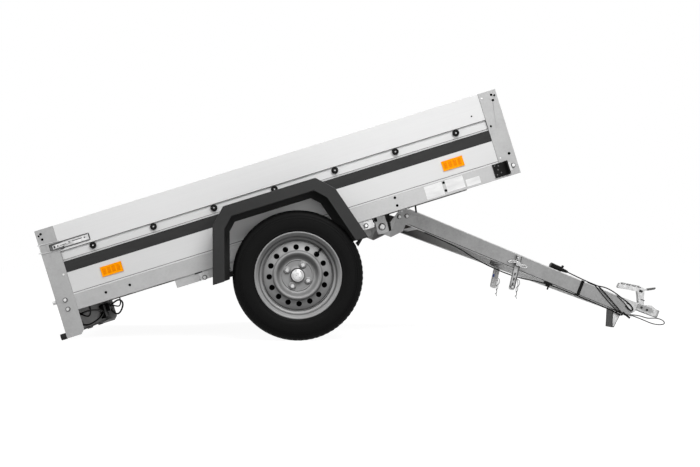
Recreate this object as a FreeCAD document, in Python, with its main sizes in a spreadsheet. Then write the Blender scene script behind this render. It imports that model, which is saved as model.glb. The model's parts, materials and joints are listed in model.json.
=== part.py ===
import FreeCAD, Part
import math
import os

import Sketcher

Vector = FreeCAD.Vector
Placement = FreeCAD.Placement
Rotation = FreeCAD.Rotation

# Driving dimensions, in millimetres and degrees.
# The bed is drawn level about the wheel centre, +X to the front, +Z up.
# The drawbar is drawn level about its own pivot, and both are then tipped to the parked stance.
SIZES = {
    "bed_tilt": 16.64,
    "drawbar_slope": 21.76,
    "running_gap": 0.1,
    "seat_gap": 0.3,
    "moving_gap": 5,
    # Wheels
    "wheel_radius": 273.5,
    "wheel_offset": 110.5,
    "tyre_width": 155,
    "tread_half": 56,
    "tyre_shoulder": 22,
    "tyre_wide_radius": 196,
    "bead_radius": 168,
    "bead_half": 58,
    "rim_radius": 182.5,
    "rim_gauge": 4,
    "rim_step_radius": 146,
    "rim_step_face": 26,
    "rim_ridge_radius": 94,
    "rim_ridge_width": 12,
    "rim_ridge_face": 40,
    "hub_seat_radius": 68,
    "hub_seat_face": 12,
    "hub_radius": 46,
    "hub_length": 70,
    "hub_bore_play": 0.1,
    "cap_radius": 27.5,
    "cap_height": 34,
    "cap_chamfer": 7,
    "spindle_radius": 15,
    # Bed frame
    "bed_rear": 1025,
    "bed_front": 1057,
    "rail_bottom": 136,
    "rail_height": 67,
    "rail_face": 560,
    "rail_flange": 40,
    "rail_gauge": 3,
    "floor_gauge": 9,
    "member_flange": 45,
    "front_member_flange": 30,
    "front_member_height": 45,
    "pivot_member_centre": 436,
    "middle_member_centre": -330,
    "rear_member_centre": -700,
    "shallow_member_centre": 726,
    "shallow_member_depth": 12,
    # Walls
    "wall_depth": 25,
    "wall_gauge": 1.5,
    "wall_top": 514,
    "bead_drop": 46,
    "bead_rise": 7,
    "bead_depth": 8,
    "seam_height": 398,
    "hem_drop": 18,
    # Posts
    "post_gauge": 3,
    "front_post_width": 78,
    "front_post_return": 45,
    "rear_post_width": 82,
    "rear_post_foot": 30,
    "rear_post_chamfer": 18,
    # Tail
    "hinge_back": 8,
    "hinge_height": 194.5,
    "hinge_pin_radius": 5,
    "hinge_reach": 430,
    "hinge_half": 30,
    "leaf_height": 80,
    "leaf_gauge": 3,
    "stub_radius": 13.5,
    "stub_length": 26,
    "stub_height": 42,
    "board_height": 94,
    "board_gauge": 2,
    "board_set": 24,
    "lamp_width": 190,
    "lamp_height": 76,
    "lamp_depth": 20,
    "lamp_centre": 420,
    "plate_lamp_width": 60,
    "plate_lamp_height": 32,
    "plate_lamp_drop": 7,
    # Side fittings
    "reflector_length": 94,
    "reflector_height": 43,
    "reflector_gauge": 6,
    "reflector_middle": 260,
    "reflector_rear_inset": 272,
    "reflector_front_inset": 269,
    "button_radius": 15,
    "button_length": 15,
    "button_drop": 16,
    "button_inset": 225,
    "button_pitch": 273.3,
    "button_count": 7,
    "marker_back": 110,
    "marker_base": 143.5,
    "marker_height": 60,
    "marker_gauge": 3,
    "marker_lens_reach": 70,
    "marker_lens_width": 40,
    "marker_lens_height": 36,
    "marker_lens_gauge": 10,
    "latch_inset": 13,
    "latch_length": 201,
    "latch_rise": 30,
    "latch_width": 24,
    "latch_hook": 48,
    "latch_hook_reach": 41,
    "latch_finger": 9,
    "post_hole_radius": 4.5,
    "post_hole_inset": 23,
    "post_hole_drop": 20,
    "post_hole_pitch": 24,
    # Fenders
    "fender_middle": -13,
    "fender_half_base": 337,
    "fender_half_top": 200,
    "fender_base": 66,
    "fender_drop": 32,
    "fender_lean": 16.9,
    "fender_lip": 50,
    "fender_flange": 68,
    "fender_gauge": 4,
    "fender_past_tyre": 10,
    # Running gear
    "bar_rear": -508,
    "bar_front": 384,
    "bar_depth": 38,
    "bar_inset": 8,
    "bar_width": 50,
    "bar_gauge": 4,
    "axle_forward": 135,
    "axle_side": 60,
    "arm_gauge": 22,
    "arm_end_radius": 34,
    "arm_root_radius": 36,
    # Tilt pivot
    "pivot_forward": 446,
    "pivot_height": 88,
    "pivot_pin_radius": 8,
    "pivot_half": 325,
    "pivot_plate_gauge": 6,
    "pivot_plate_width": 52,
    "pivot_plate_drop": 30,
    # Drawbar
    "beam_rear": 50,
    "beam_front": 1320,
    "beam_top": 124,
    "beam_height": 69,
    "beam_rear_top": 115,
    "beam_crop": 128,
    "beam_nose": 30,
    "beam_flange": 40,
    "beam_gauge": 4,
    "beam_root_half": 332,
    "beam_tip_half": 36,
    "mitre_gap": 1,
    "plate_rear": 28,
    "plate_saddle": 26,
    "plate_front": 150,
    "plate_bottom": 28,
    "plate_nose": 99,
    "plate_top": 104,
    "brace_at": 630,
    "brace_rear": 160,
    "brace_height": 40,
    "brace_flange": 30,
    "strap_at": 670,
    "strap_height": 81,
    "strap_lean": 8.6,
    "strap_gauge": 5,
    "strap_radius": 14,
    "strap_length": 126,
    "strap_tail": 40,
    "strap_pin_radius": 6,
    "foot_rear": 1213,
    "foot_front": 1240,
    "foot_toe": 1250,
    "foot_head": 1258,
    "foot_half": 43,
    "foot_gauge": 4,
    "ball_at": 1412,
    "ball_height": 104,
    "ball_radius": 25,
    "ball_play": 0.2,
    "socket_wall": 5,
    "socket_skirt": 8,
    "coupling_rear": 1246,
    "coupling_base": 97,
    "coupling_gauge": 4,
    "coupling_half": 34,
    "coupling_deck": 132,
    "coupling_hump": 141,
    "handle_rear": 1208,
    "handle_front": 1332,
    "handle_low": 164,
    "handle_high": 206,
    "handle_grip": 27,
    "handle_width": 26,
    "trigger_reach": 52,
    "trigger_rise": 28,
    "trigger_gauge": 6,
    "plug_rear": 825,
    "plug_length": 62,
    "plug_neck": 32,
    "plug_radius": 13,
    "plug_inset": 20,
    "cable_radius": 3.4,
    "wire_radius": 2.4,
}


class Term:
    """A size together with the sheet formula that gives it."""

    def __init__(self, value, text):
        self.value = float(value)
        self.text = text

    def __add__(self, other):
        other = term(other)
        return Term(self.value + other.value, f"({self.text} + {other.text})")

    def __radd__(self, other):
        return term(other) + self

    def __sub__(self, other):
        other = term(other)
        return Term(self.value - other.value, f"({self.text} - {other.text})")

    def __rsub__(self, other):
        return term(other) - self

    def __mul__(self, other):
        other = term(other)
        return Term(self.value * other.value, f"({self.text} * {other.text})")

    def __rmul__(self, other):
        return term(other) * self

    def __truediv__(self, other):
        other = term(other)
        return Term(self.value / other.value, f"({self.text} / {other.text})")

    def __neg__(self):
        return Term(-self.value, f"(-1 * {self.text})")


def term(value):
    """Reads a plain number as a term."""
    if isinstance(value, Term):
        return value
    return Term(value, f"({value})")


def sine(angle):
    """The sine of a term in degrees."""
    return Term(math.sin(math.radians(angle.value)), f"sin({angle.text})")


def cosine(angle):
    """The cosine of a term in degrees."""
    return Term(math.cos(math.radians(angle.value)), f"cos({angle.text})")


def tangent(angle):
    """The tangent of a term in degrees."""
    return Term(math.tan(math.radians(angle.value)), f"tan({angle.text})")


def root(number):
    """The square root of a term."""
    return Term(math.sqrt(number.value), f"sqrt({number.text})")


doc = FreeCAD.newDocument("UtilityTrailer")
sheet = doc.addObject("Spreadsheet::Sheet", "Sizes")
for row, (alias, size) in enumerate(SIZES.items(), 1):
    sheet.set(f"A{row}", alias)
    sheet.set(f"B{row}", str(size))
    sheet.setAlias(f"B{row}", alias)
doc.recompute()


class Sheet:
    """The sheet's sizes as terms, read by name."""

    def __getattr__(self, alias):
        return Term(SIZES[alias], f"Sizes.{alias}")


S = Sheet()

# Placements of the bodies that move against each other
BED = Placement(Vector(0, 0, S.wheel_radius.value), Rotation(Vector(0, 1, 0), -S.bed_tilt.value))
PIVOT = BED.multVec(Vector(S.pivot_forward.value, 0, S.pivot_height.value))
DRAWBAR = Placement(PIVOT, Rotation(Vector(0, 1, 0), S.drawbar_slope.value))
SIDES = {"right": -1, "left": 1}
FRAMES = {}
PIECES = {}
PARTS = {}


def keep(label, piece, place):
    """Notes a finished piece of a sub-part, and the frame of the body that it moves with."""
    PIECES.setdefault(label, []).append(piece)
    FRAMES[label] = place


def join_pieces():
    """Makes each sub-part of its pieces, names it and stands it in its body's frame."""
    for label, pieces in PIECES.items():
        part = pieces[0]
        if len(pieces) > 1:
            part = doc.addObject("Part::Compound", "Group")
            part.Links = pieces
        part.Label = label
        part.Placement = FRAMES[label].multiply(part.Placement)
        PARTS[label] = part


def new_body(name):
    """A new PartDesign body."""
    return doc.addObject("PartDesign::Body", name)


def origin_plane(body, role):
    """The body's own origin plane of that role."""
    return [plane for plane in body.Origin.OriginFeatures if plane.Role == role][0]


def bind(piece, prop, size):
    """Sets a property from a term and keeps it bound to the sheet."""
    piece.setExpression(prop, size.text)


def sketch_on(body, plane, offset):
    """An empty sketch on one of the body's planes, moved along that plane's normal."""
    sketch = body.newObject("Sketcher::SketchObject", "Sketch")
    sketch.AttachmentSupport = [(origin_plane(body, plane + "_Plane"), "")]
    sketch.MapMode = "FlatFace"
    bind(sketch, "AttachmentOffset.Base.z", term(offset))
    return sketch


def fix_point(sketch, geometry, position, x, y, bindings):
    """Constrains one point of the sketch to two terms."""
    for axis, size in (("DistanceX", x), ("DistanceY", y)):
        size = term(size)
        index = sketch.addConstraint(Sketcher.Constraint(axis, -1, 1, geometry, position, size.value))
        bindings.append((index, size))


def draw_corners(sketch, corners, bindings):
    """Draws a closed outline. A corner is (x, y) or (x, y, radius)."""
    count = len(corners)
    points = [Vector(term(c[0]).value, term(c[1]).value, 0) for c in corners]
    first = sketch.GeometryCount
    for i in range(count):
        sketch.addGeometry(Part.LineSegment(points[i], points[(i + 1) % count]))
    sharp = [i for i in range(count) if len(corners[i]) == 2]
    for i in sharp:
        before = first + (i - 1) % count
        sketch.addConstraint(Sketcher.Constraint("Coincident", before, 2, first + i, 1))
        fix_point(sketch, first + i, 1, corners[i][0], corners[i][1], bindings)
    for i in range(count):
        if i in sharp:
            continue
        round_corner(sketch, first + (i - 1) % count, first + i, points[i], corners[i], bindings)


def round_corner(sketch, before, after, point, corner, bindings):
    """Joins two lines with an arc of the corner's radius, tangent to both."""
    radius = term(corner[2])
    line_in = sketch.Geometry[before]
    line_out = sketch.Geometry[after]
    back = (line_in.StartPoint - point).normalize()
    ahead = (line_out.EndPoint - point).normalize()
    half = back.getAngle(ahead) / 2
    reach = radius.value / math.tan(half)
    centre = point + (back + ahead).normalize() * (radius.value / math.sin(half))
    start = point + back * reach
    end = point + ahead * reach
    turn_left = back.cross(ahead).z < 0
    a0 = math.atan2(start.y - centre.y, start.x - centre.x)
    a1 = math.atan2(end.y - centre.y, end.x - centre.x)
    circle = Part.Circle(centre, Vector(0, 0, 1), radius.value)
    span = (a0, a1) if turn_left else (a1, a0)
    arc = sketch.addGeometry(Part.ArcOfCircle(circle, *span))
    near, far = (1, 2) if turn_left else (2, 1)
    mark = sketch.addGeometry(Part.Point(point), True)
    sketch.addConstraint(Sketcher.Constraint("PointOnObject", mark, 1, before))
    sketch.addConstraint(Sketcher.Constraint("PointOnObject", mark, 1, after))
    sketch.addConstraint(Sketcher.Constraint("Tangent", before, 2, arc, near))
    sketch.addConstraint(Sketcher.Constraint("Tangent", arc, far, after, 1))
    index = sketch.addConstraint(Sketcher.Constraint("Radius", arc, radius.value))
    bindings.append((index, radius))
    fix_point(sketch, mark, 1, corner[0], corner[1], bindings)


def draw_circle(sketch, x, y, radius, bindings):
    """Draws a full circle."""
    radius = term(radius)
    centre = Vector(term(x).value, term(y).value, 0)
    index = sketch.addGeometry(Part.Circle(centre, Vector(0, 0, 1), radius.value))
    fix_point(sketch, index, 3, x, y, bindings)
    size = sketch.addConstraint(Sketcher.Constraint("Radius", index, radius.value))
    bindings.append((size, radius))


def profile(body, plane, offset, outlines=(), circles=()):
    """A sketch of closed outlines and circles, bound to the sheet."""
    sketch = sketch_on(body, plane, offset)
    bindings = []
    for corners in outlines:
        draw_corners(sketch, corners, bindings)
    for x, y, radius in circles:
        draw_circle(sketch, x, y, radius, bindings)
    for index, size in bindings:
        sketch.setExpression(f"Constraints[{index}]", size.text)
    return sketch


def pad(body, plane, start, end, outlines=(), circles=()):
    """Adds the profile to the body from one distance along the plane's normal to another."""
    start, end = term(start), term(end)
    feature = body.newObject("PartDesign::Pad", "Pad")
    feature.Profile = profile(body, plane, start, outlines, circles)
    bind(feature, "Length", end - start)
    return feature


def pocket(body, plane, start, end, outlines=(), circles=()):
    """Cuts the profile out of the body between two distances along the plane's normal."""
    start, end = term(start), term(end)
    feature = body.newObject("PartDesign::Pocket", "Pocket")
    feature.Profile = profile(body, plane, end, outlines, circles)
    bind(feature, "Length", end - start)
    return feature


def turned(body, outline, axis="V_Axis", plane="XY"):
    """Revolves a profile about one of its sketch's axes."""
    feature = body.newObject("PartDesign::Revolution", "Revolution")
    feature.Profile = profile(body, plane, 0, [outline])
    feature.ReferenceAxis = (feature.Profile[0], [axis])
    feature.Angle = 360
    return feature


def box(x0, y0, x1, y1):
    """The four corners of a rectangle."""
    return [(x0, y0), (x1, y0), (x1, y1), (x0, y1)]


def rounded(x0, y0, x1, y1, radius):
    """A rectangle with four equal round corners, from its low corner to its high one."""
    return [(x0, y0, radius), (x1, y0, radius), (x1, y1, radius), (x0, y1, radius)]


def hexagon(x, y, half_width):
    """A bolt head's corners, from its centre and half its width across the flats."""
    reach = half_width / cosine(term(30))
    turns = [term(30 + 60 * n) for n in range(6)]
    return [(x + reach * cosine(turn), y + reach * sine(turn)) for turn in turns]


def across(side, inner, outer):
    """Distances along an XZ plane's normal for a piece between two half widths on one side."""
    inner, outer = term(inner), term(outer)
    return (inner, outer) if side < 0 else (-outer, -inner)


def channel(web, tip, low, high, gauge, inward):
    """A C section: web at one side, flanges towards the tip. inward is the sign from web to tip."""
    gauge = term(gauge)
    return [
        (web, low),
        (tip, low),
        (tip, low + gauge),
        (web + gauge * inward, low + gauge),
        (web + gauge * inward, high - gauge),
        (tip, high - gauge),
        (tip, high),
        (web, high),
    ]


# Places that several pieces share
RAIL_TOP = S.rail_bottom + S.rail_height
FLOOR_TOP = RAIL_TOP + S.floor_gauge
WALL_INSIDE = S.rail_face - S.wall_depth
BEAD_LOW = S.seam_height - S.bead_drop
BUTTON_HEIGHT = S.seam_height - S.button_drop
FENDER_TOP = S.seam_height - S.fender_drop
FRONT_FACE = S.bed_front - S.post_gauge
TAIL_FACE = S.bed_rear - S.post_gauge
BAR_OUTER = S.rail_face - S.bar_inset
TRACK_HALF = BAR_OUTER + S.wheel_offset
FRONT_HOLES = S.bed_front - S.post_hole_inset
REAR_HOLES = S.post_hole_inset - S.bed_rear
WHEELS = {
    side: Placement(Vector(0, side * TRACK_HALF.value, S.wheel_radius.value), Rotation())
    for side in (-1, 1)
}


def lower_skin(place, base=RAIL_TOP):
    """The lower wall sheet in section. place turns a depth behind the face into a coordinate."""
    g = S.wall_gauge
    return [
        (place(S.wall_depth), base),
        (place(0), base),
        (place(0), BEAD_LOW),
        (place(S.bead_depth), BEAD_LOW + S.bead_rise),
        (place(S.bead_depth), S.seam_height),
        (place(S.wall_depth), S.seam_height),
        (place(S.wall_depth), S.seam_height - g),
        (place(S.bead_depth + g), S.seam_height - g),
        (place(S.bead_depth + g), BEAD_LOW + S.bead_rise),
        (place(g), BEAD_LOW),
        (place(g), base + g),
        (place(S.wall_depth), base + g),
    ]


def upper_skin(place, base=RAIL_TOP):
    """The upper wall sheet in section, with its rolled top edge. It stands on the lower sheet."""
    g = S.wall_gauge
    return [
        (place(S.wall_depth), S.seam_height),
        (place(0), S.seam_height),
        (place(0), S.wall_top),
        (place(S.wall_depth), S.wall_top),
        (place(S.wall_depth), S.wall_top - S.hem_drop),
        (place(S.wall_depth - g), S.wall_top - S.hem_drop),
        (place(S.wall_depth - g), S.wall_top - g),
        (place(g), S.wall_top - g),
        (place(g), S.seam_height + g),
        (place(S.wall_depth), S.seam_height + g),
    ]


SKINS = {"lower": lower_skin, "upper": upper_skin}


def post_holes(forward):
    """The two holes near a post's top, one above the other."""
    high = S.wall_top - S.post_hole_drop
    return [(forward, height, S.post_hole_radius) for height in (high - S.post_hole_pitch, high)]


def build_side_panels():
    """Two folded sheets on each long side, the upper one drilled where the posts are."""
    for side in SIDES.values():
        for level, skin in SKINS.items():
            body = new_body("SidePanel")
            section = skin(lambda depth: (S.rail_face - depth) * side)
            pad(body, "YZ", -TAIL_FACE, FRONT_FACE, [section])
            if level == "upper":
                holes = post_holes(FRONT_HOLES) + post_holes(REAR_HOLES)
                sheet_depth = S.wall_gauge + 1
                pocket(body, "XZ", *across(side, S.rail_face - sheet_depth, S.rail_face + 1), [], holes)
            keep(f"side_panels_{level}", body, BED)


def build_front_panels():
    """Two folded sheets across the front."""
    half = WALL_INSIDE - S.seat_gap
    for level, skin in SKINS.items():
        body = new_body("FrontPanel")
        section = skin(lambda depth: FRONT_FACE - depth)
        pad(body, "XZ", -half, half, [section])
        keep("front_panels", body, BED)


def build_floor():
    """The plywood floor on the frame."""
    body = new_body("Floor")
    side = WALL_INSIDE - S.seat_gap
    front = FRONT_FACE - S.wall_depth - S.seat_gap
    rear = TAIL_FACE - S.wall_depth - S.moving_gap
    pad(body, "XY", RAIL_TOP, FLOOR_TOP, [box(-rear, -side, front, side)])
    keep("floor_panel", body, BED)


def build_side_rails():
    """The C section rails under the long sides."""
    for side_name, side in SIDES.items():
        body = new_body("SideRail")
        web = S.rail_face * side
        tip = (S.rail_face - S.rail_flange) * side
        section = channel(web, tip, S.rail_bottom, RAIL_TOP, S.rail_gauge, -side)
        pad(body, "YZ", -TAIL_FACE, FRONT_FACE, [section])
        keep("side_rails", body, BED)


def cross_member(web, inward, low, flange=S.member_flange):
    """A C section across the bed between the side rails' flanges."""
    body = new_body("CrossMember")
    half = S.rail_face - S.rail_flange - S.seat_gap
    section = channel(web, web + flange * inward, low, RAIL_TOP, S.rail_gauge, inward)
    pad(body, "XZ", -half, half, [section])
    return body


def build_cross_members():
    """End members and the ones under the floor."""
    front_low = RAIL_TOP - S.front_member_height
    front = cross_member(FRONT_FACE, -1, front_low, S.front_member_flange)
    keep("end_cross_members", front, BED)
    keep("end_cross_members", cross_member(-TAIL_FACE, 1, S.rail_bottom), BED)
    half = S.member_flange / 2
    keep("pivot_cross_member", cross_member(S.pivot_member_centre - half, 1, S.rail_bottom), BED)
    shallow = RAIL_TOP - S.shallow_member_depth
    for centre, low in (
        (S.middle_member_centre, S.rail_bottom),
        (S.rear_member_centre, S.rail_bottom),
        (S.shallow_member_centre, shallow),
    ):
        keep("floor_cross_members", cross_member(centre - half, 1, low), BED)


def build_posts():
    """Angle section posts at the four corners."""
    face = S.rail_face
    outside = face + S.post_gauge
    for side_name, side in SIDES.items():
        body = new_body("FrontPost")
        corner = S.bed_front
        inner = outside - S.front_post_return
        plan = [
            (corner, outside * side),
            (corner - S.front_post_width, outside * side),
            (corner - S.front_post_width, face * side),
            (corner - S.post_gauge, face * side),
            (corner - S.post_gauge, inner * side),
            (corner, inner * side),
        ]
        pad(body, "XY", S.rail_bottom, S.wall_top, [plan])
        holes = post_holes(FRONT_HOLES)
        pocket(body, "XZ", *across(side, face - 1, outside + 1), [], holes)
        keep("front_posts", body, BED)
        body = new_body("RearPost")
        corner = -S.bed_rear
        inner = WALL_INSIDE
        plan = [
            (corner, outside * side),
            (corner + S.rear_post_width, outside * side),
            (corner + S.rear_post_width, face * side),
            (corner + S.post_gauge, face * side),
            (corner + S.post_gauge, inner * side),
            (corner, inner * side),
        ]
        pad(body, "XY", S.rear_post_foot, S.wall_top, [plan])
        toe = corner + S.rear_post_width
        low = S.rear_post_foot
        clip = [
            (toe - S.rear_post_chamfer, low),
            (toe, low),
            (toe, low + S.rear_post_chamfer),
        ]
        holes = post_holes(REAR_HOLES)
        pocket(body, "XZ", *across(side, face - 1, outside + 1), [clip], holes)
        keep("rear_posts", body, BED)


def build_tail_fittings():
    """The lamp board between the rear posts with its lamps, and the rubber stubs."""
    board_face = -TAIL_FACE + S.board_set
    top = S.rail_bottom
    low = top - S.board_height
    body = new_body("LampBoard")
    half = S.rail_face - S.seat_gap
    section = channel(board_face, board_face + S.board_set, low, top, S.board_gauge, 1)
    pad(body, "XZ", -half, half, [section])
    keep("rear_lamp_board", body, BED)
    middle = low + S.board_height / 2
    for side_name, side in SIDES.items():
        body = new_body("RearLamp")
        y0 = (S.lamp_centre - S.lamp_width / 2) * side
        y1 = (S.lamp_centre + S.lamp_width / 2) * side
        outline = box(y0, middle - S.lamp_height / 2, y1, middle + S.lamp_height / 2)
        pad(body, "YZ", board_face - S.lamp_depth, board_face, [outline])
        keep("rear_lamps", body, BED)
    body = new_body("PlateLamp")
    wide = S.plate_lamp_width / 2
    under = low - S.plate_lamp_drop
    outline = rounded(-wide, under, wide, under + S.plate_lamp_height, 6)
    pad(body, "YZ", board_face - S.lamp_depth, board_face, [outline])
    keep("plate_lamp", body, BED)
    body = new_body("Stubs")
    post_middle = S.rail_face - S.stub_radius + S.post_gauge
    circles = [(post_middle * side, S.stub_height, S.stub_radius) for side in (-1, 1)]
    pad(body, "YZ", -S.bed_rear - S.stub_length, -S.bed_rear, [], circles[:1])
    keep("rubber_stubs", body, BED)
    body = new_body("Stubs")
    pad(body, "YZ", -S.bed_rear - S.stub_length, -S.bed_rear, [], circles[1:])
    keep("rubber_stubs", body, BED)


def build_side_fittings():
    """Reflectors and rope buttons on the walls, markers at the front and latches at the rear."""
    for side in SIDES.values():
        build_reflectors(side)
        build_rope_buttons(side)
        build_front_marker(side)
        build_latch(side)


def build_reflectors(side):
    """Two long reflectors on the lower wall."""
    face = S.rail_face
    for centre in (S.reflector_rear_inset - S.bed_rear, S.bed_front - S.reflector_front_inset):
        body = new_body("Reflector")
        outline = box(
            centre - S.reflector_length / 2,
            S.reflector_middle - S.reflector_height / 2,
            centre + S.reflector_length / 2,
            S.reflector_middle + S.reflector_height / 2,
        )
        pad(body, "XZ", *across(side, face, face + S.reflector_gauge), [outline])
        keep("side_reflectors", body, BED)


def build_rope_buttons(side):
    """Buttons for the cover's rope, in the band between the two wall sheets."""
    seat = S.rail_face - S.bead_depth
    span = across(side, seat, seat + S.button_length)
    for n in range(SIZES["button_count"]):
        body = new_body("RopeButton")
        centre = S.button_inset - S.bed_rear + S.button_pitch * n
        pad(body, "XZ", *span, [], [(centre, BUTTON_HEIGHT, S.button_radius)])
        keep("rope_buttons", body, BED)


def build_front_marker(side):
    """A marker's bracket, stepped over the post's edge, with its lens facing the front."""
    face = S.rail_face
    step = S.post_gauge + S.seat_gap
    post_rear = S.bed_front - S.front_post_width
    rear = S.bed_front - S.marker_back
    front = rear + S.marker_lens_reach
    lens_rear = front - S.marker_lens_gauge
    arm_rear = lens_rear - S.marker_gauge * 2
    out = face + S.marker_lens_width
    body = new_body("Marker")
    plan = [
        (rear, face * side),
        (post_rear - S.seat_gap, face * side),
        (post_rear - S.seat_gap, (face + step) * side),
        (lens_rear, (face + step) * side),
        (lens_rear, out * side),
        (arm_rear, out * side),
        (arm_rear, (face + step + S.marker_gauge) * side),
        (rear, (face + step + S.marker_gauge) * side),
    ]
    pad(body, "XY", S.marker_base, S.marker_base + S.marker_height, [plan])
    keep("front_markers", body, BED)
    body = new_body("MarkerLens")
    middle = S.marker_base + S.marker_height / 2
    half = S.marker_lens_height / 2
    plan = box(lens_rear, (face + step + 1) * side, front, (out - 1) * side)
    pad(body, "XY", middle - half, middle + half, [plan])
    keep("marker_lenses", body, BED)


def build_latch(side):
    """A tailgate latch: base strip, lever, and a hook with two fingers behind the post."""
    face = S.rail_face
    post = face + S.post_gauge
    post_front = S.rear_post_width - S.bed_rear
    height = S.seam_height + S.latch_rise
    half = S.latch_width / 2
    rear = S.latch_inset - S.bed_rear
    front = rear + S.latch_length
    body = new_body("Latch")
    strip = box(post_front + S.seat_gap, height - half, front, height + half)
    pad(body, "XZ", *across(side, face, post + S.seat_gap), [strip])
    lever = box(rear, height - half + 3, front - 24, height + half - 5)
    pad(body, "XZ", *across(side, post + S.seat_gap, post + S.seat_gap + 6), [lever])
    hook_half = S.latch_hook / 2
    hook = rounded(2 - S.bed_rear, height - hook_half, S.latch_hook_reach - S.bed_rear, height + hook_half, 6)
    pad(body, "XZ", *across(side, post + S.seat_gap, post + S.seat_gap + 4), [hook])
    for low in (height - hook_half + 4, height + hook_half - 4 - S.latch_finger):
        finger = box(-S.bed_rear - 8, low, -S.bed_rear + 4, low + S.latch_finger)
        pad(body, "XZ", *across(side, post + S.seat_gap, post + S.seat_gap + 4), [finger])
        bent = box(-S.bed_rear - 8, low, -S.bed_rear - 4, low + S.latch_finger)
        pad(body, "XZ", *across(side, face - 2, post + S.seat_gap + 4), [bent])
    keep("tailgate_latches", body, BED)


def fender_line(depth, base):
    """The fender's outline moved inwards by a depth: two leaning legs, chamfered corners, flat top."""
    lean = S.fender_lean
    slope = tangent(lean)
    diagonal = root(term(2))
    chamfer = FENDER_TOP + S.fender_half_top - depth * diagonal
    foot = S.fender_half_base - depth / cosine(lean)
    shoulder = (chamfer - foot - S.fender_base * slope) / (1 - slope)
    top = FENDER_TOP - depth
    half = [
        (foot - (base - S.fender_base) * slope, base),
        (chamfer - shoulder, shoulder),
        (chamfer - top, top),
    ]
    left = [(S.fender_middle - u, z) for u, z in half]
    right = [(S.fender_middle + u, z) for u, z in reversed(half)]
    return left + right


def build_fenders():
    """Moulded fenders: a top band with an outer lip and an inner flange on the wall."""
    inner = S.rail_face + S.seat_gap
    outer = TRACK_HALF + S.tyre_width / 2 + S.fender_past_tyre
    g = S.fender_gauge
    below = S.fender_base - 1
    for side_name, side in SIDES.items():
        body = new_body("Fender")
        pad(body, "XZ", *across(side, inner, outer), [fender_line(term(0), S.fender_base)])
        pocket(body, "XZ", *across(side, inner + g, outer - g), [fender_line(g, below)])
        pocket(body, "XZ", *across(side, outer - g * 1.5, outer), [fender_line(S.fender_lip, below)])
        pocket(body, "XZ", *across(side, inner, inner + g * 1.5), [fender_line(S.fender_flange, below)])
        keep(f"fender_{side_name}", body, BED)


def build_running_gear():
    """Bars under the rails, the axle beam across them, and the swing arms with their spindles."""
    bar_low = S.rail_bottom - S.bar_depth
    for side_name, side in SIDES.items():
        body = new_body("UnderRail")
        web = BAR_OUTER * side
        tip = (BAR_OUTER - S.bar_width) * side
        section = channel(web, tip, bar_low, S.rail_bottom, S.bar_gauge, -side)
        pad(body, "YZ", S.bar_rear, S.bar_front, [section])
        keep("under_rails", body, BED)
    axle_top = bar_low
    axle_low = axle_top - S.axle_side
    axle_middle = axle_top - S.axle_side / 2
    half = S.axle_side / 2
    body = new_body("AxleBeam")
    outline = rounded(S.axle_forward - half, axle_low, S.axle_forward + half, axle_top, 8)
    pad(body, "XZ", -BAR_OUTER, BAR_OUTER, [outline])
    keep("axle_beam", body, BED)
    arm_in = BAR_OUTER
    arm_out = arm_in + S.arm_gauge
    lean = math.degrees(math.atan2(axle_middle.value, S.axle_forward.value))
    for side_name, side in SIDES.items():
        body = new_body("SwingArm")
        root_r = S.arm_root_radius
        end_r = S.arm_end_radius
        outline = [
            (-end_r, -end_r, end_r * 0.6),
            (end_r * 0.8, -end_r, end_r * 0.6),
            (S.axle_forward + root_r, axle_middle - root_r, root_r * 0.6),
            (S.axle_forward + root_r, axle_middle + root_r - 4, root_r * 0.6),
            (S.axle_forward - root_r, axle_middle + root_r - 4, root_r * 0.6),
            (-end_r, end_r, end_r * 0.6),
        ]
        pad(body, "XZ", *across(side, arm_in, arm_out), [outline])
        spindle_end = TRACK_HALF + S.hub_seat_face - 4
        pad(body, "XZ", *across(side, arm_out, spindle_end), [], [(0, 0, S.spindle_radius)])
        keep("swing_arms", body, BED)


def build_pivot_brackets():
    """Pairs of plates that hang from the pivot cross member, with the pivot bolts through them."""
    centre = S.pivot_forward
    half = S.pivot_plate_width / 2
    low = S.pivot_height - S.pivot_plate_drop
    g = S.pivot_plate_gauge
    for side_name, side in SIDES.items():
        body = new_body("PivotBracket")
        gap_in = S.pivot_half - S.pivot_plate_gauge / 2 - S.moving_gap
        gap_out = S.pivot_half + S.pivot_plate_gauge / 2 + S.moving_gap
        plate = [
            (centre - half, low, 12),
            (centre + half, low, 12),
            (centre + half, S.rail_bottom),
            (centre - half, S.rail_bottom),
        ]
        pad(body, "XZ", *across(side, gap_in - g, gap_in), [plate])
        pad(body, "XZ", *across(side, gap_out, gap_out + g), [plate])
        cap = box(centre - half, S.rail_bottom - g, centre + half, S.rail_bottom)
        pad(body, "XZ", *across(side, gap_in - g, gap_out + g), [cap])
        bolt = [(centre, S.pivot_height, S.pivot_pin_radius)]
        pad(body, "XZ", *across(side, gap_in - g, gap_out + g), [], bolt)
        head = [hexagon(centre, S.pivot_height, S.pivot_pin_radius * 1.5)]
        pad(body, "XZ", *across(side, gap_out + g, gap_out + g + 8), head)
        pad(body, "XZ", *across(side, gap_in - g - 10, gap_in - g), head)
        keep("pivot_brackets", body, BED)


def beam_half(x):
    """Half width to the outer face of the V at a distance ahead of the pivot."""
    return S.beam_root_half - x * (S.beam_root_half - S.beam_tip_half) / S.beam_front


BEAM_SLOPE = (S.beam_root_half - S.beam_tip_half) / S.beam_front
BEAM_ANGLE = math.degrees(math.atan(BEAM_SLOPE.value))


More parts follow.
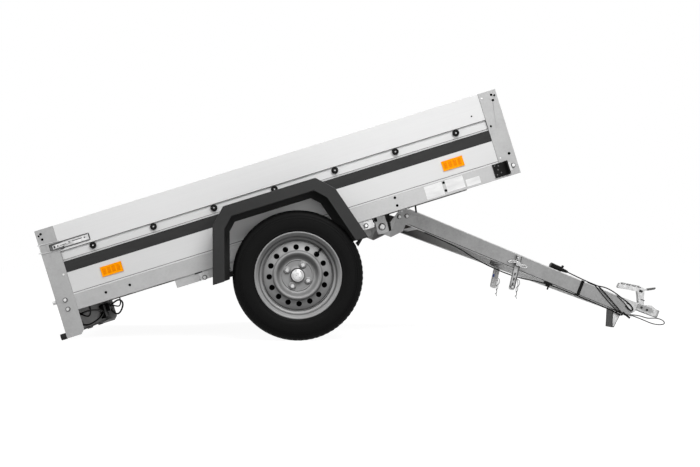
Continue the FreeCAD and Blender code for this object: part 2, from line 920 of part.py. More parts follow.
def build_beams():
    """The two C section beams of the V, mitred where they meet."""
    slope = BEAM_SLOPE
    lean = root(slope * slope + 1)
    width = S.beam_flange * lean
    web = S.beam_gauge * lean
    low = S.beam_top - S.beam_height
    meet = (S.beam_root_half - width - S.mitre_gap) / slope
    web_meet = (S.beam_root_half - web - S.mitre_gap) / slope
    for side_name, side in SIDES.items():
        body = new_body("Beam")
        plan = [
            (S.beam_rear, beam_half(S.beam_rear) * side),
            (S.beam_front, S.beam_tip_half * side),
            (S.beam_front, S.mitre_gap * side),
            (meet, S.mitre_gap * side),
            (S.beam_rear, (beam_half(S.beam_rear) - width) * side),
        ]
        pad(body, "XY", low, S.beam_top, [plan])
        hollow = [
            (S.beam_rear - 5, (beam_half(S.beam_rear - 5) - web) * side),
            (S.beam_front + 5, (beam_half(S.beam_front + 5) - web) * side),
            (S.beam_front + 5, -5 * side),
            (meet - 30, -5 * side),
            (S.beam_rear - 5, (beam_half(S.beam_rear - 5) - width - 5) * side),
        ]
        pocket(body, "XY", low + S.beam_gauge, S.beam_top - S.beam_gauge, [hollow])
        crop = [
            (S.beam_rear - 5, S.beam_rear_top),
            (S.beam_rear, S.beam_rear_top),
            (S.beam_crop, S.beam_top),
            (S.beam_crop, S.beam_top + 5),
            (S.beam_rear - 5, S.beam_top + 5),
        ]
        nose = [
            (S.beam_front - S.beam_nose, low),
            (S.beam_front - S.beam_nose, low - 5),
            (S.beam_front + 5, low - 5),
            (S.beam_front + 5, low + S.beam_nose + 5),
        ]
        pocket(body, "XZ", *across(side, 0, S.beam_root_half), [crop])
        pocket(body, "XZ", *across(side, 0, S.beam_root_half), [nose])
        keep(f"drawbar_beam_{side_name}", body, DRAWBAR)


def build_hinge_plates():
    """Bent plates that carry the beams on the pivot bolts."""
    g = S.pivot_plate_gauge
    inner = S.pivot_half - g / 2
    outer = S.pivot_half + g / 2
    gap = S.seat_gap
    low = S.beam_top - S.beam_height
    for side_name, side in SIDES.items():
        plan_body = new_body("HingePlan")
        bend = (S.beam_root_half + gap - inner) / BEAM_SLOPE
        front = S.plate_front
        plan = [
            (-S.plate_rear - 5, inner * side),
            (bend, inner * side),
            (front, (beam_half(front) + gap) * side),
            (front, (beam_half(front) + gap + g) * side),
            (bend + g / 8, outer * side),
            (-S.plate_rear - 5, outer * side),
        ]
        pad(plan_body, "XY", -S.plate_bottom - 5, S.beam_top + 5, [plan])
        side_body = new_body("HingeOutline")
        outline = [
            (-S.plate_rear, -S.plate_bottom, 20),
            (S.plate_nose - 42, -S.plate_bottom),
            (S.plate_nose, 18),
            (S.plate_nose, low),
            (front, low + 4),
            (front, S.plate_top),
            (S.beam_rear - 2, S.plate_top),
            (S.plate_saddle, S.plate_rear),
            (-S.plate_rear, S.plate_rear, 20),
        ]
        reach = across(side, inner - 90, outer + 5)
        hole = [(0, 0, S.pivot_pin_radius + S.running_gap)]
        pad(side_body, "XZ", *reach, [outline], hole)
        common = doc.addObject("Part::Common", "HingePlate")
        common.Base = plan_body
        common.Tool = side_body
        keep("drawbar_hinge_plates", common, DRAWBAR)


def build_drawbar_fittings():
    """Cross braces, lock straps, parking foot and the plug on its way to the car."""
    low = S.beam_top - S.beam_height
    build_braces(low)
    build_straps()
    build_foot(low)
    build_plug()


def build_braces(low):
    """Two C section braces between the beams' webs."""
    lean = root(BEAM_SLOPE * BEAM_SLOPE + 1)
    web = S.beam_gauge * lean + S.seat_gap
    middle = low + S.beam_height / 2
    half = S.brace_height / 2
    g = S.beam_gauge
    for x0 in (S.brace_rear, S.brace_at):
        body = new_body("Brace")
        x1 = x0 + S.brace_flange
        plan = [
            (x0, -(beam_half(x0) - web)),
            (x1, -(beam_half(x1) - web)),
            (x1, beam_half(x1) - web),
            (x0, beam_half(x0) - web),
        ]
        pad(body, "XY", middle - half, middle + half, [plan])
        hollow = box(x0 + g, -S.beam_root_half, x1 + g, S.beam_root_half)
        pocket(body, "XY", middle - half + g, middle + half - g, [hollow])
        keep("drawbar_cross_braces", body, DRAWBAR)


def beam_side(side, x, outward, height):
    """A placement on the beam's outer face, X along the beam, at a distance outside that face."""
    y = (beam_half(x).value + outward) * side
    turn = Rotation(Vector(0, 0, 1), -side * BEAM_ANGLE)
    return Placement(Vector(x.value, y, height.value), turn)


def build_straps():
    """Lock straps that hang from pins on the beams' outer faces."""
    r = S.strap_radius
    pin = S.strap_pin_radius
    g = S.strap_gauge
    for side in SIDES.values():
        body = new_body("LockStrap")
        outline = [
            (-r, -S.strap_length, r * 0.9),
            (r, -S.strap_length, r * 0.9),
            (r, S.strap_tail, r * 0.5),
            (-r, S.strap_tail, r * 0.5),
        ]
        hole = [(0, -S.strap_length + r, pin + S.running_gap)]
        pad(body, "XZ", *across(side, 0, g), [outline])
        pocket(body, "XZ", *across(side, -1, g + 1), [], hole)
        pad(body, "XZ", *across(side, g, g + 10), [], [(0, 0, pin * 1.7)])
        hang = Rotation(Vector(0, 1, 0), -S.strap_lean.value)
        spot = beam_side(side, S.strap_at, S.seat_gap.value, S.strap_height)
        body.Placement = spot.multiply(Placement(Vector(), hang))
        keep("lock_straps", body, DRAWBAR)


def build_plug():
    """The seven-pole plug, laid on the right beam's top with its neck towards the front."""
    body = new_body("Plug")
    pad(body, "YZ", 0, S.plug_length, [], [(0, 0, S.plug_radius)])
    pad(body, "YZ", S.plug_length, S.plug_length + S.plug_neck, [], [(0, 0, S.plug_radius - 4)])
    height = S.beam_top + S.plug_radius + S.seat_gap
    body.Placement = beam_side(-1, S.plug_rear, -S.plug_inset.value, height)
    keep("plug", body, DRAWBAR)


def ground_height(x):
    """Height in the drawbar's frame of the ground it is parked on."""
    rise = sine(S.drawbar_slope) * x
    pivot = S.wheel_radius + sine(S.bed_tilt) * S.pivot_forward + cosine(S.bed_tilt) * S.pivot_height
    return (rise - pivot) / cosine(S.drawbar_slope)


def build_foot(low):
    """The pressed foot that the parked drawbar stands on."""
    body = new_body("Foot")
    outline = [
        (S.foot_rear, low),
        (S.foot_front, ground_height(S.foot_front)),
        (S.foot_toe, ground_height(S.foot_toe)),
        (S.foot_head, low),
    ]
    half = S.foot_half
    g = S.foot_gauge
    pad(body, "XZ", -half, half, [outline])
    hollow = [
        (S.foot_rear + g * 1.2, low + 1),
        (S.foot_front + g * 1.2, ground_height(S.foot_front) - 1),
        (S.foot_toe + 40, ground_height(S.foot_toe) - 10),
        (S.foot_rear + 70, low + 1),
    ]
    pocket(body, "XZ", -half + g, half - g, [hollow])
    keep("parking_foot", body, DRAWBAR)


def build_coupling():
    """The ball coupling on the beams' tip, with a round socket under its nose, and its handle."""
    wall = S.ball_radius + S.socket_wall
    seat = S.ball_radius + S.ball_play
    g = S.coupling_gauge
    half = S.coupling_half
    tip = S.beam_front + S.seat_gap
    base = S.coupling_base
    ball = S.ball_at
    centre = S.ball_height
    body = new_body("Coupling")
    pad(body, "XY", S.beam_top, S.beam_top + g, [box(S.coupling_rear, -half, tip + 2 * g, half)])
    outline = [
        (tip, base),
        (ball, base),
        (ball, centre + wall - 2),
        (ball - S.ball_radius, S.coupling_hump),
        (S.handle_front + wall, S.coupling_deck),
        (tip, S.coupling_deck),
    ]
    pad(body, "XZ", -wall, wall, [outline])
    hollow = box(tip + g, -(wall - g), ball, wall - g)
    pocket(body, "XY", base - 1, S.coupling_deck - g, [hollow])
    pad(body, "XY", base, centre + wall - 2, [], [(ball, 0, wall)])
    pocket(body, "XY", base - 1, centre, [], [(ball, 0, seat)])
    globe = body.newObject("PartDesign::SubtractiveSphere", "Seat")
    globe.AttachmentSupport = [(origin_plane(body, "XY_Plane"), "")]
    globe.MapMode = "FlatFace"
    bind(globe, "AttachmentOffset.Base.x", ball)
    bind(globe, "AttachmentOffset.Base.z", centre)
    bind(globe, "Radius", seat)
    keep("coupling_housing", body, DRAWBAR)
    build_handle()


def build_handle():
    """The coupling's raised grip on its neck, with the trigger that releases it."""
    body = new_body("Handle")
    rear = S.handle_rear
    front = S.handle_front
    low = S.handle_low
    high = S.handle_high
    grip = S.handle_grip
    neck = S.coupling_deck
    outline = [
        (rear, low, 6),
        (front - grip, high - grip + 4),
        (front - 2, neck),
        (front + grip - 2, neck),
        (front, high - 2, 5),
        (front - grip / 2, high + 4, 8),
        (rear + 2, low + grip, 7),
    ]
    wide = S.handle_width / 2
    pad(body, "XZ", -wide, wide, [outline])
    slim = S.trigger_gauge / 2
    lever = [
        (front - 6, high - 14),
        (front + 2, high - 12),
        (front + S.trigger_reach, high + S.trigger_rise - S.trigger_gauge),
        (front + S.trigger_reach, high + S.trigger_rise),
        (front - 6, high - 6),
    ]
    pad(body, "XZ", -slim, slim, [lever])
    keep("coupling_handle", body, DRAWBAR)


CABLE_SIDES = 6


def tube(points, radius):
    """A cable of flat-sided section along straight runs joined by arcs as large as the runs allow."""
    points = [Vector(*point) for point in points]
    edges = []
    start = points[0]
    for before, corner, after in zip(points, points[1:], points[2:]):
        back = (before - corner).normalize()
        ahead = (after - corner).normalize()
        reach = 0.48 * min((before - corner).Length, (after - corner).Length)
        half = back.getAngle(ahead) / 2
        middle = (back + ahead).normalize()
        round_off = reach * math.tan(half)
        centre = corner + middle * (reach / math.cos(half))
        enter = corner + back * reach
        leave = corner + ahead * reach
        edges.append(Part.LineSegment(start, enter).toShape())
        edges.append(Part.Arc(enter, centre - middle * round_off, leave).toShape())
        start = leave
    edges.append(Part.LineSegment(start, points[-1]).toShape())
    wire = Part.Wire(edges)
    along = (points[1] - points[0]).normalize()
    aside = along.cross(Vector(0, 0, 1)).normalize()
    above = aside.cross(along)
    turns = [math.tau * n / CABLE_SIDES for n in range(CABLE_SIDES + 1)]
    corners = [points[0] + (aside * math.cos(a) + above * math.sin(a)) * radius for a in turns]
    return wire.makePipeShell([Part.makePolygon(corners)], True, False)


def along_beam(side, x, outward, height):
    """A point beside a beam's outer face, as plain numbers."""
    return (x, (beam_half(term(x)).value + outward) * side, height)


def build_cables():
    """The wiring cable, tied along the right beam, and the safety wire's loop at the coupling."""
    r = S.cable_radius.value
    gap = S.seat_gap.value
    over = S.beam_top.value + r + gap
    under = S.beam_top.value - S.beam_height.value - r - gap
    beside = r + gap
    middle = S.beam_top.value + S.plug_radius.value + gap
    neck_end = (S.plug_rear + S.plug_length + S.plug_neck).value + 0.2
    route = [
        along_beam(-1, neck_end, -20, middle),
        along_beam(-1, 1030, -18, over + 3),
        along_beam(-1, 1134, beside + 3, over + 3),
        along_beam(-1, 1244, beside + 4, under + 26),
        along_beam(-1, 1272, beside, under - 16),
        along_beam(-1, 1180, -12, under - 2),
        along_beam(-1, 1010, -20, under),
        along_beam(-1, 840, -22, under - 2),
        along_beam(-1, 690, -28, under - 32),
        along_beam(-1, 500, -26, under - 28),
        along_beam(-1, 360, -20, under),
        along_beam(-1, 200, -20, under),
    ]
    cable = doc.addObject("Part::Feature", "Cable")
    cable.Shape = tube(route, r)
    keep("wiring_cable", cable, DRAWBAR)
    aside = (S.ball_radius + S.socket_wall + S.wire_radius + S.seat_gap).value
    clamp = S.coupling_base.value
    loop = [
        (1330, -aside, clamp + 2),
        (1440, -aside, clamp + 1),
        (1490, -6, clamp - 9),
        (1484, 22, clamp - 18),
        (1424, aside, clamp - 27),
        (1300, aside - 2, clamp - 31),
    ]
    wire = doc.addObject("Part::Feature", "Wire")
    wire.Shape = tube(loop, S.wire_radius.value)
    keep("safety_cable", wire, DRAWBAR)


def build_tailgate():
    """The folded tailgate between the rear posts, with its hinge leaves."""
    half = WALL_INSIDE - S.moving_gap
    base = RAIL_TOP + 2 * S.moving_gap
    for level, skin in SKINS.items():
        body = new_body("Tailgate")
        pad(body, "XZ", -half, half, [skin(lambda depth: depth - S.bed_rear, base)])
        keep("tailgate_panels", body, BED)
    pin_x = -(S.bed_rear + S.hinge_back)
    pin_z = S.hinge_height
    r = S.hinge_pin_radius
    eye = r + 4
    for side_name, side in SIDES.items():
        centre = S.hinge_reach
        half = S.hinge_half
        body = new_body("HingeLeaf")
        leaf = [
            (pin_x - eye, pin_z - eye, eye * 0.8),
            (pin_x + eye, pin_z - eye, eye * 0.8),
            (-S.bed_rear, pin_z + eye + 6),
            (-S.bed_rear, pin_z + S.leaf_height),
            (-S.bed_rear - S.leaf_gauge, pin_z + S.leaf_height),
            (pin_x - eye, pin_z + eye, eye * 0.8),
        ]
        hole = [(pin_x, pin_z, r + S.running_gap)]
        span = across(side, centre - half / 2, centre + half / 2)
        pad(body, "XZ", *span, [leaf], hole)
        keep("tailgate_hinge_leaves", body, BED)
        body = new_body("HingeEars")
        ear = [
            (pin_x - eye, pin_z - eye, eye * 0.8),
            (-TAIL_FACE, pin_z - eye - 16),
            (-TAIL_FACE, pin_z + eye - 2),
            (pin_x - eye, pin_z + eye - 2, eye * 0.6),
        ]
        for a, b in ((-half, -half / 2 - 1), (half / 2 + 1, half)):
            pad(body, "XZ", *across(side, centre + a, centre + b), [ear])
        pad(body, "XZ", *across(side, centre - half - 4, centre + half + 4), [], [(pin_x, pin_z, r)])
        keep("tailgate_hinge_ears", body, BED)


def build_wheels():
    """Tyres, rims and hubs. Drawn with the outer face towards +Y and turned for the right."""
    for side_name, side in SIDES.items():
        turn = Rotation() if side > 0 else Rotation(Vector(0, 0, 1), 180)
        place = WHEELS[side].multiply(Placement(Vector(), turn))
        body = new_body("Tyre")
        turned(body, tyre_section())
        keep(f"tyre_{side_name}", body, place)
        body = new_body("Rim")
        turned(body, rim_section())
        keep(f"rim_{side_name}", body, place)
        body = new_body("Hub")
        turned(body, hub_section())
        keep(f"hub_{side_name}", body, place)


def tyre_section():
    """The tyre in section: beads on the rim, flat side walls, cut shoulders, flat tread, closed inside."""
    half = S.tyre_width / 2
    outside = [
        (S.bead_radius, S.bead_half),
        (S.tyre_wide_radius, half),
        (S.wheel_radius - S.tyre_shoulder, half),
        (S.wheel_radius, S.tread_half),
    ]
    return outside + [(radius, -width) for radius, width in reversed(outside)]


def rim_section():
    """The rim in section: barrel, a flange outside each side wall, and a disc with a raised ridge."""
    g = S.rim_gauge
    lip = S.rim_radius
    seat = S.bead_radius - S.seat_gap
    step = S.rim_step_radius
    slope = (S.tyre_width / 2 - S.bead_half) / (S.tyre_wide_radius - S.bead_radius)
    edge = S.bead_half + (lip - S.bead_radius) * slope + S.seat_gap * root(slope * slope + 1)
    ridge_in = S.rim_ridge_radius - S.rim_ridge_width / 2
    ridge_out = S.rim_ridge_radius + S.rim_ridge_width / 2
    bore = S.cap_radius + S.seat_gap
    return [
        (lip, edge + g),
        (lip, edge),
        (seat, edge),
        (seat, -edge),
        (lip, -edge),
        (lip, -edge - g),
        (step, -edge - g),
        (step, S.hub_seat_face),
        (bore, S.hub_seat_face),
        (bore, S.hub_seat_face + g),
        (ridge_in - 3 * g, S.hub_seat_face + g),
        (ridge_in, S.rim_ridge_face),
        (ridge_out, S.rim_ridge_face),
        (ridge_out, S.rim_step_face),
        (step, S.rim_step_face),
        (seat - g, edge + g),
    ]


def hub_section():
    """The hub in section: bored for the spindle, a flange behind the rim, and the dust cap."""
    face = S.hub_seat_face
    spindle = S.spindle_radius + S.hub_bore_play
    back = face - S.hub_length
    flange = S.hub_seat_radius - S.rim_gauge
    cap_end = face + S.cap_height
    return [
        (spindle, back),
        (S.hub_radius, back),
        (S.hub_radius, face - 12),
        (flange, face - 12),
        (flange, face),
        (S.cap_radius, face),
        (S.cap_radius, cap_end - S.cap_chamfer),
        (S.cap_radius - S.cap_chamfer, cap_end),
        (0, cap_end),
        (0, face + 2),
        (spindle, face + 2),
    ]


def report_faults():
    """Stops if any object failed to build or any sub-part isn't a sound solid."""
    for piece in doc.Objects:
        for word in ("Invalid", "Error"):
            if word in piece.State:
                raise RuntimeError(f"{piece.Name} ({piece.Label}) is in state {piece.State}")
    for label, piece in PARTS.items():
        if piece.Shape.isNull() or not piece.Shape.isValid() or piece.Shape.Volume <= 0:
            raise RuntimeError(f"{label} has no sound shape")


def centre_on_floor():
    """Moves everything so that the origin lies on the floor under the middle of the outline."""
    boxes = [piece.Shape.optimalBoundingBox(False) for piece in PARTS.values()]
    low_x = min(b.XMin for b in boxes)
    high_x = max(b.XMax for b in boxes)
    low_z = min(b.ZMin for b in boxes)
    print("outline x", low_x, high_x, "z", low_z, max(b.ZMax for b in boxes))
    print("outline y", min(b.YMin for b in boxes), max(b.YMax for b in boxes))
    move = Placement(Vector(-(low_x + high_x) / 2, 0, -low_z), Rotation())
    for piece in PARTS.values():
        piece.Placement = move.multiply(piece.Placement)
    return move


def write_parts():
    """Writes one STEP file for each sub-part."""
    os.makedirs("parts", exist_ok=True)
    for label, piece in PARTS.items():
        piece.Shape.exportStep(f"parts/{label}.step")


build_floor()
build_side_rails()
build_cross_members()
build_side_panels()
build_front_panels()
build_posts()
build_tail_fittings()
build_side_fittings()
build_fenders()
build_running_gear()
build_pivot_brackets()
build_tailgate()
build_wheels()
build_beams()
build_hinge_plates()
build_drawbar_fittings()
build_coupling()
build_cables()
join_pieces()
doc.recompute()
report_faults()
shift = centre_on_floor()
doc.recompute()
report_faults()
write_parts()
print("shift", shift.Base)
print("pivot", shift.multVec(PIVOT))
print("bed origin", shift.multVec(BED.Base))
print("parts", len(PARTS))
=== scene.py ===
import json
import logging
import math
from dataclasses import dataclass, field
from enum import Enum
from typing import Any, Iterable, Sequence

import bmesh
import bpy
from mathutils import Matrix, Vector


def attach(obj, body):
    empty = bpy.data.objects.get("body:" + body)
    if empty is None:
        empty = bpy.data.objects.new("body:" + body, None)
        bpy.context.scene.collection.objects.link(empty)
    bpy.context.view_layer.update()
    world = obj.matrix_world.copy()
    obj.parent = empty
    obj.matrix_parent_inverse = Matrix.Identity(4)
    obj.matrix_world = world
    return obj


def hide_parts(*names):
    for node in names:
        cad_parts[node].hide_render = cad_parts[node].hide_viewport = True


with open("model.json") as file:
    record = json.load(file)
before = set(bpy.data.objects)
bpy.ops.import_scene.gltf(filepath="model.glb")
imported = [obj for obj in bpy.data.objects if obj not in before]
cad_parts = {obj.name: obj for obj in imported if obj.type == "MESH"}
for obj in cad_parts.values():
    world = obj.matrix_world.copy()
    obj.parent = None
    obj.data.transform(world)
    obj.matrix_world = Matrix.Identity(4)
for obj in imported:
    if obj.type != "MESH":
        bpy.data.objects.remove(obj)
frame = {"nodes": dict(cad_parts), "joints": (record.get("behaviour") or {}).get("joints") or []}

log = logging.getLogger("trailer")

MM = 0.001
WELD_GAP = 0.01 * MM
SOFT_ANGLE = 32.0
BED_TILT = 16.64
BAR_SLOPE = 21.76
Point2 = tuple[float, float]
Point3 = tuple[float, float, float]
Colour = tuple[float, float, float]
Plate = tuple[Sequence[Point2], float, float]


class Side(Enum):
    """The trailer's two sides, by the sign of Y."""

    RIGHT = -1
    LEFT = 1

    @property
    def word(self) -> str:
        """The side's name as the nodes spell it."""
        return self.name.lower()


class Plane(Enum):
    """The plane in which an outline is drawn: where X, Y and Z come from in (first, second, across)."""

    XZ = (0, 2, 1)
    XY = (0, 1, 2)
    YZ = (2, 0, 1)

    def point(self, first: float, second: float, across: float) -> Vector:
        """A corner from its place in the plane and across it."""
        spot = (first, second, across)
        return Vector([spot[axis] for axis in self.value])


class Slot(Enum):
    """The record's material slots."""

    ZINC = "zinc_steel"
    BRIGHT = "bright_zinc"
    UPPER = "sheet_upper"
    LOWER = "sheet_lower"
    PLY = "plywood"
    PLASTIC = "black_plastic"
    RUBBER = "black_rubber"
    TYRE = "tyre"
    RIM = "rim_paint"
    HUB = "hub_steel"
    AMBER = "amber"
    RED = "red"
    CLEAR = "clear"
    CABLE = "cable"


def linear(level: int) -> float:
    """A display level, 0 to 255, in linear light."""
    share = level / 255
    return share / 12.92 if share <= 0.04045 else ((share + 0.055) / 1.055) ** 2.4


def tone(red: int, green: int, blue: int) -> Colour:
    """A linear colour from its display levels."""
    return linear(red), linear(green), linear(blue)


def grey(level: int) -> Colour:
    """A neutral colour from its display level."""
    return tone(level, level, level)


class Wire:
    """A shader socket that can stand in a Python expression."""

    def __init__(self, bench: "Bench", socket: bpy.types.NodeSocket) -> None:
        """Keeps the socket and its bench."""
        self.bench = bench
        self.socket = socket

    def _maths(self, word: str, first: Any, second: Any) -> "Wire":
        """Adds one Math node."""
        return self.bench.node("ShaderNodeMath", {"operation": word}, {0: first, 1: second})

    def __add__(self, other: Any) -> "Wire":
        """Sum."""
        return self._maths("ADD", self, other)

    def __radd__(self, other: Any) -> "Wire":
        """Reflected sum."""
        return self._maths("ADD", other, self)

    def __sub__(self, other: Any) -> "Wire":
        """Difference."""
        return self._maths("SUBTRACT", self, other)

    def __rsub__(self, other: Any) -> "Wire":
        """Reflected difference."""
        return self._maths("SUBTRACT", other, self)

    def __mul__(self, other: Any) -> "Wire":
        """Product."""
        return self._maths("MULTIPLY", self, other)

    def __rmul__(self, other: Any) -> "Wire":
        """Reflected product."""
        return self._maths("MULTIPLY", other, self)

    def held(self) -> "Wire":
        """The value held between 0 and 1."""
        return self.bench.node("ShaderNodeMath", {"operation": "ADD", "use_clamp": True}, {0: self, 1: 0.0})


class Bench:
    """A node tree with the few calls that the finishes and the studio need."""

    def __init__(self, tree: bpy.types.NodeTree) -> None:
        """Keeps the tree."""
        self.tree = tree

    @property
    def shader(self) -> bpy.types.Node:
        """The tree's main shader."""
        return next(n for n in self.tree.nodes if n.type == "BSDF_PRINCIPLED")

    def node(self, kind: str, settings: dict[str, Any], inputs: dict[Any, Any], output: Any = 0) -> Wire:
        """Adds a node.

        Args:
            kind: the node's type.
            settings: its properties, set first. "ramp" holds a grey ramp's stops.
            inputs: values or wires, by socket name or index.
            output: the socket to return.

        Returns:
            The chosen output as a wire.
        """
        made = self.tree.nodes.new(kind)
        for key, value in settings.items():
            if key == "ramp":
                self._stops(made.color_ramp, value)
            else:
                setattr(made, key, value)
        for key, value in inputs.items():
            socket = made.inputs[key]
            if isinstance(value, Wire):
                self.tree.links.new(value.socket, socket)
            else:
                socket.default_value = value
        return Wire(self, made.outputs[output])

    @staticmethod
    def _stops(ramp: bpy.types.ColorRamp, stops: Sequence[Point2]) -> None:
        """Sets a grey ramp's stops.

        Args:
            ramp: the ramp.
            stops: a place and a level for each stop.
        """
        while len(ramp.elements) > 1:
            ramp.elements.remove(ramp.elements[-1])
        for index, (place, level) in enumerate(stops):
            stop = ramp.elements[0] if index == 0 else ramp.elements.new(place)
            stop.position = place
            stop.color = (level, level, level, 1)

    def place(self, turn: float = 0.0, scale: Point3 = (1, 1, 1)) -> Wire:
        """The piece's own coordinates.

        Args:
            turn: degrees to turn them about Y.
            scale: their scale on each axis, before the turn.

        Returns:
            The coordinates.
        """
        raw = self.node("ShaderNodeTexCoord", {}, {}, "Object")
        level = {"Vector": raw, "Rotation": (0, math.radians(turn), 0)}
        turned = self.node("ShaderNodeMapping", {"vector_type": "POINT"}, level)
        return self.node("ShaderNodeMapping", {"vector_type": "POINT"}, {"Vector": turned, "Scale": scale})

    def noise(self, where: Wire, scale: float, detail: float = 3, rough: float = 0.5) -> Wire:
        """A noise value round 0.5, by waves to a metre, octaves and the finer ones' strength."""
        inputs = {"Vector": where, "Scale": scale, "Detail": detail, "Roughness": rough}
        return self.node("ShaderNodeTexNoise", {}, inputs)

    def cells(self, where: Wire, scale: float) -> Wire:
        """A flat random value for each Voronoi cell."""
        inputs = {"Vector": where, "Scale": scale}
        return self.node("ShaderNodeTexVoronoi", {"feature": "F1"}, inputs, "Color")

    def ramp(self, value: Wire, *stops: Point2) -> Wire:
        """A value sent through a grey ramp."""
        return self.node("ShaderNodeValToRGB", {"ramp": stops}, {"Fac": value})

    def mix(self, share: Any, first: Any, second: Any) -> Wire:
        """A colour between two colours or wires: a share of 0 gives the first, 1 the second."""
        ends = [c if isinstance(c, Wire) else (*c, 1.0) for c in (first, second)]
        return self.node("ShaderNodeMix", {"data_type": "RGBA"}, {0: share, 6: ends[0], 7: ends[1]}, 2)

    def set(self, **sockets: Any) -> None:
        """Sets or links the main shader's sockets.

        Args:
            sockets: values, colours or wires. An underscore in a name stands for a space.
        """
        for name, value in sockets.items():
            socket = self.shader.inputs[name.replace("_", " ")]
            if isinstance(value, Wire):
                self.tree.links.new(value.socket, socket)
            elif isinstance(value, tuple):
                socket.default_value = (*value, 1.0)
            else:
                socket.default_value = value

    def bump(self, height: Wire, depth: float, strength: float = 1.0) -> None:
        """Sends a height, 0 to 1, to the shader's normal: its depth in metres, its strength."""
        inputs = {"Height": height, "Distance": depth, "Strength": strength}
        self.set(Normal=self.node("ShaderNodeBump", {}, inputs))

    def seen_directly(self) -> Wire:
        """Tells the rays that see the backdrop.

        Returns:
            1 for rays from the camera and for what metal and glass show, else 0.
        """
        words = ("Is Camera Ray", "Is Glossy Ray", "Is Transmission Ray")
        rays = [self.node("ShaderNodeLightPath", {}, {}, word) for word in words]
        return (rays[0] + rays[1] + rays[2]).held()

    def upward(self) -> Wire:
        """How far the surface faces upwards: 0 straight down, 0.5 level, 1 straight up."""
        return self.facing("Z") * 0.5 + 0.5

    def facing(self, axis: str) -> Wire:
        """How far the surface faces along an axis, from -1 to 1."""
        normal = self.node("ShaderNodeNewGeometry", {}, {}, "Normal")
        return self.node("ShaderNodeSeparateXYZ", {}, {"Vector": normal}, axis)

    def finish(self, kind: str, surface: Wire) -> None:
        """Links a shader to the tree's output node of this type."""
        out = next(n for n in self.tree.nodes if n.type == kind)
        self.tree.links.new(surface.socket, out.inputs["Surface"])


def darker(colour: Colour, share: float) -> Colour:
    """A colour multiplied by a share."""
    return tuple(min(1.0, level * share) for level in colour)


@dataclass(frozen=True)
class Finish:
    """What every finish has: a name, a colour, how rough it is and how much light its surface mirrors."""

    name: str
    colour: Colour
    rough: float = 0.5
    mirror: float = 0.5

    def dress(self, bench: Bench) -> None:
        """Wires the finish on its material's bench."""
        raise NotImplementedError

    def material(self) -> bpy.types.Material:
        """The finish's material, made once.

        Returns:
            The material.
        """
        found = bpy.data.materials.get(self.name)
        if found is None:
            found = bpy.data.materials.new(self.name)
            found.use_nodes = True
            bench = Bench(found.node_tree)
            bench.set(Specular_IOR_Level=self.mirror)
            self.dress(bench)
        return found


@dataclass(frozen=True)
class Galvanised(Finish):
    """Hot-dip zinc: flat crystals, cloudy patches and dull specks, with a painted highlight on top and
    painted shade near the pivot where asked.
    """

    contrast: float = 0.12
    crystal: float = 130.0
    metal: float = 0.35
    top: float = 0.0
    grimy: float = 0.0

    def _grime(self, bench: Bench, body: Wire) -> Wire:
        """Paints shade on the face that looks to one side near the drawbar's pivot, where the bed's shadow
        falls.

        Args:
            bench: the material's bench.
            body: the colour without it.

        Returns:
            The colour with it.
        """
        facing = bench.facing("Y") * self.grimy
        along = bench.node("ShaderNodeSeparateXYZ", {}, {"Vector": bench.place()}, "X")
        near = bench.ramp((along - BAR.origin[0]) * 2.0, (0.1, 1), (0.8, 0))
        return bench.mix(bench.ramp(facing, (0.6, 0), (0.9, 1)) * near, body, darker(self.colour, 0.04))

    def dress(self, bench: Bench) -> None:
        """Wires mottled colour, mottled gloss and a faint unevenness.

        Args:
            bench: the material's bench.
        """
        where = bench.place()
        crystal = bench.cells(where, self.crystal)
        cloud = bench.noise(where, 14, 4, 0.6)
        speck = bench.noise(where, 420, 2, 0.6)
        share = crystal * 0.35 + bench.ramp(cloud, (0.3, 0), (0.7, 1)) * 0.4 + speck * 0.25
        low, high = darker(self.colour, 1 - self.contrast * 2), darker(self.colour, 1 + self.contrast * 2)
        body = bench.mix(share.held(), low, high)
        # Painted highlight: faces that look upwards are mixed towards a pale grey, as if lit from above.
        if self.top:
            body = bench.mix(bench.ramp(bench.upward(), (0.62, 0), (0.84, self.top)), body, grey(240))
        # Painted shade: each beam's inner face near the pivot, which the bed shades, is darkened.
        if self.grimy:
            body = self._grime(bench, body)
        bench.set(
            Base_Color=body,
            Metallic=self.metal,
            Roughness=(self.rough + (crystal - 0.5) * 0.14 + (cloud - 0.5) * 0.12).held(),
        )
        bench.bump(cloud * 0.6 + speck * 0.4, 0.0003, 0.35)


@dataclass(frozen=True)
class RolledSheet(Finish):
    """Coated sheet with faint streaks along its rolling direction."""

    turn: float = BED_TILT
    streak: float = 0.035
    metal: float = 0.25

    def dress(self, bench: Bench) -> None:
        """Wires long streaks and a soft cloud in colour and gloss.

        Args:
            bench: the material's bench.
        """
        streak = bench.noise(bench.place(self.turn, (0.6, 40, 60)), 3, 4, 0.6)
        cloud = bench.noise(bench.place(self.turn, (1, 1, 3)), 2.2, 3, 0.5)
        share = streak * 0.55 + cloud * 0.45
        low, high = darker(self.colour, 1 - self.streak * 2), darker(self.colour, 1 + self.streak * 1.6)
        bench.set(
            Base_Color=bench.mix(share.held(), low, high),
            Metallic=self.metal,
            Roughness=(self.rough + (streak - 0.5) * 0.16).held(),
        )
        bench.bump(streak, 0.00006, 0.4)


@dataclass(frozen=True)
class MouldedPlastic(Finish):
    """Moulded plastic with a fine grain and a weathered bloom."""

    grain: float = 900.0
    bloom: float = 0.3

    def dress(self, bench: Bench) -> None:
        """Wires a leather-like grain in the bump and a cloudy bloom in the colour.

        Args:
            bench: the material's bench.
        """
        where = bench.place()
        grain = bench.cells(where, self.grain)
        fine = bench.noise(where, self.grain * 0.7, 3, 0.6)
        cloud = bench.ramp(bench.noise(where, 7, 4, 0.6), (0.35, 0), (0.75, 1))
        bench.set(
            Base_Color=bench.mix(cloud, self.colour, darker(self.colour, 1 + self.bloom)),
            Roughness=(self.rough + (fine - 0.5) * 0.2).held(),
        )
        bench.bump(grain * 0.5 + fine * 0.5, 0.0002, 0.3)


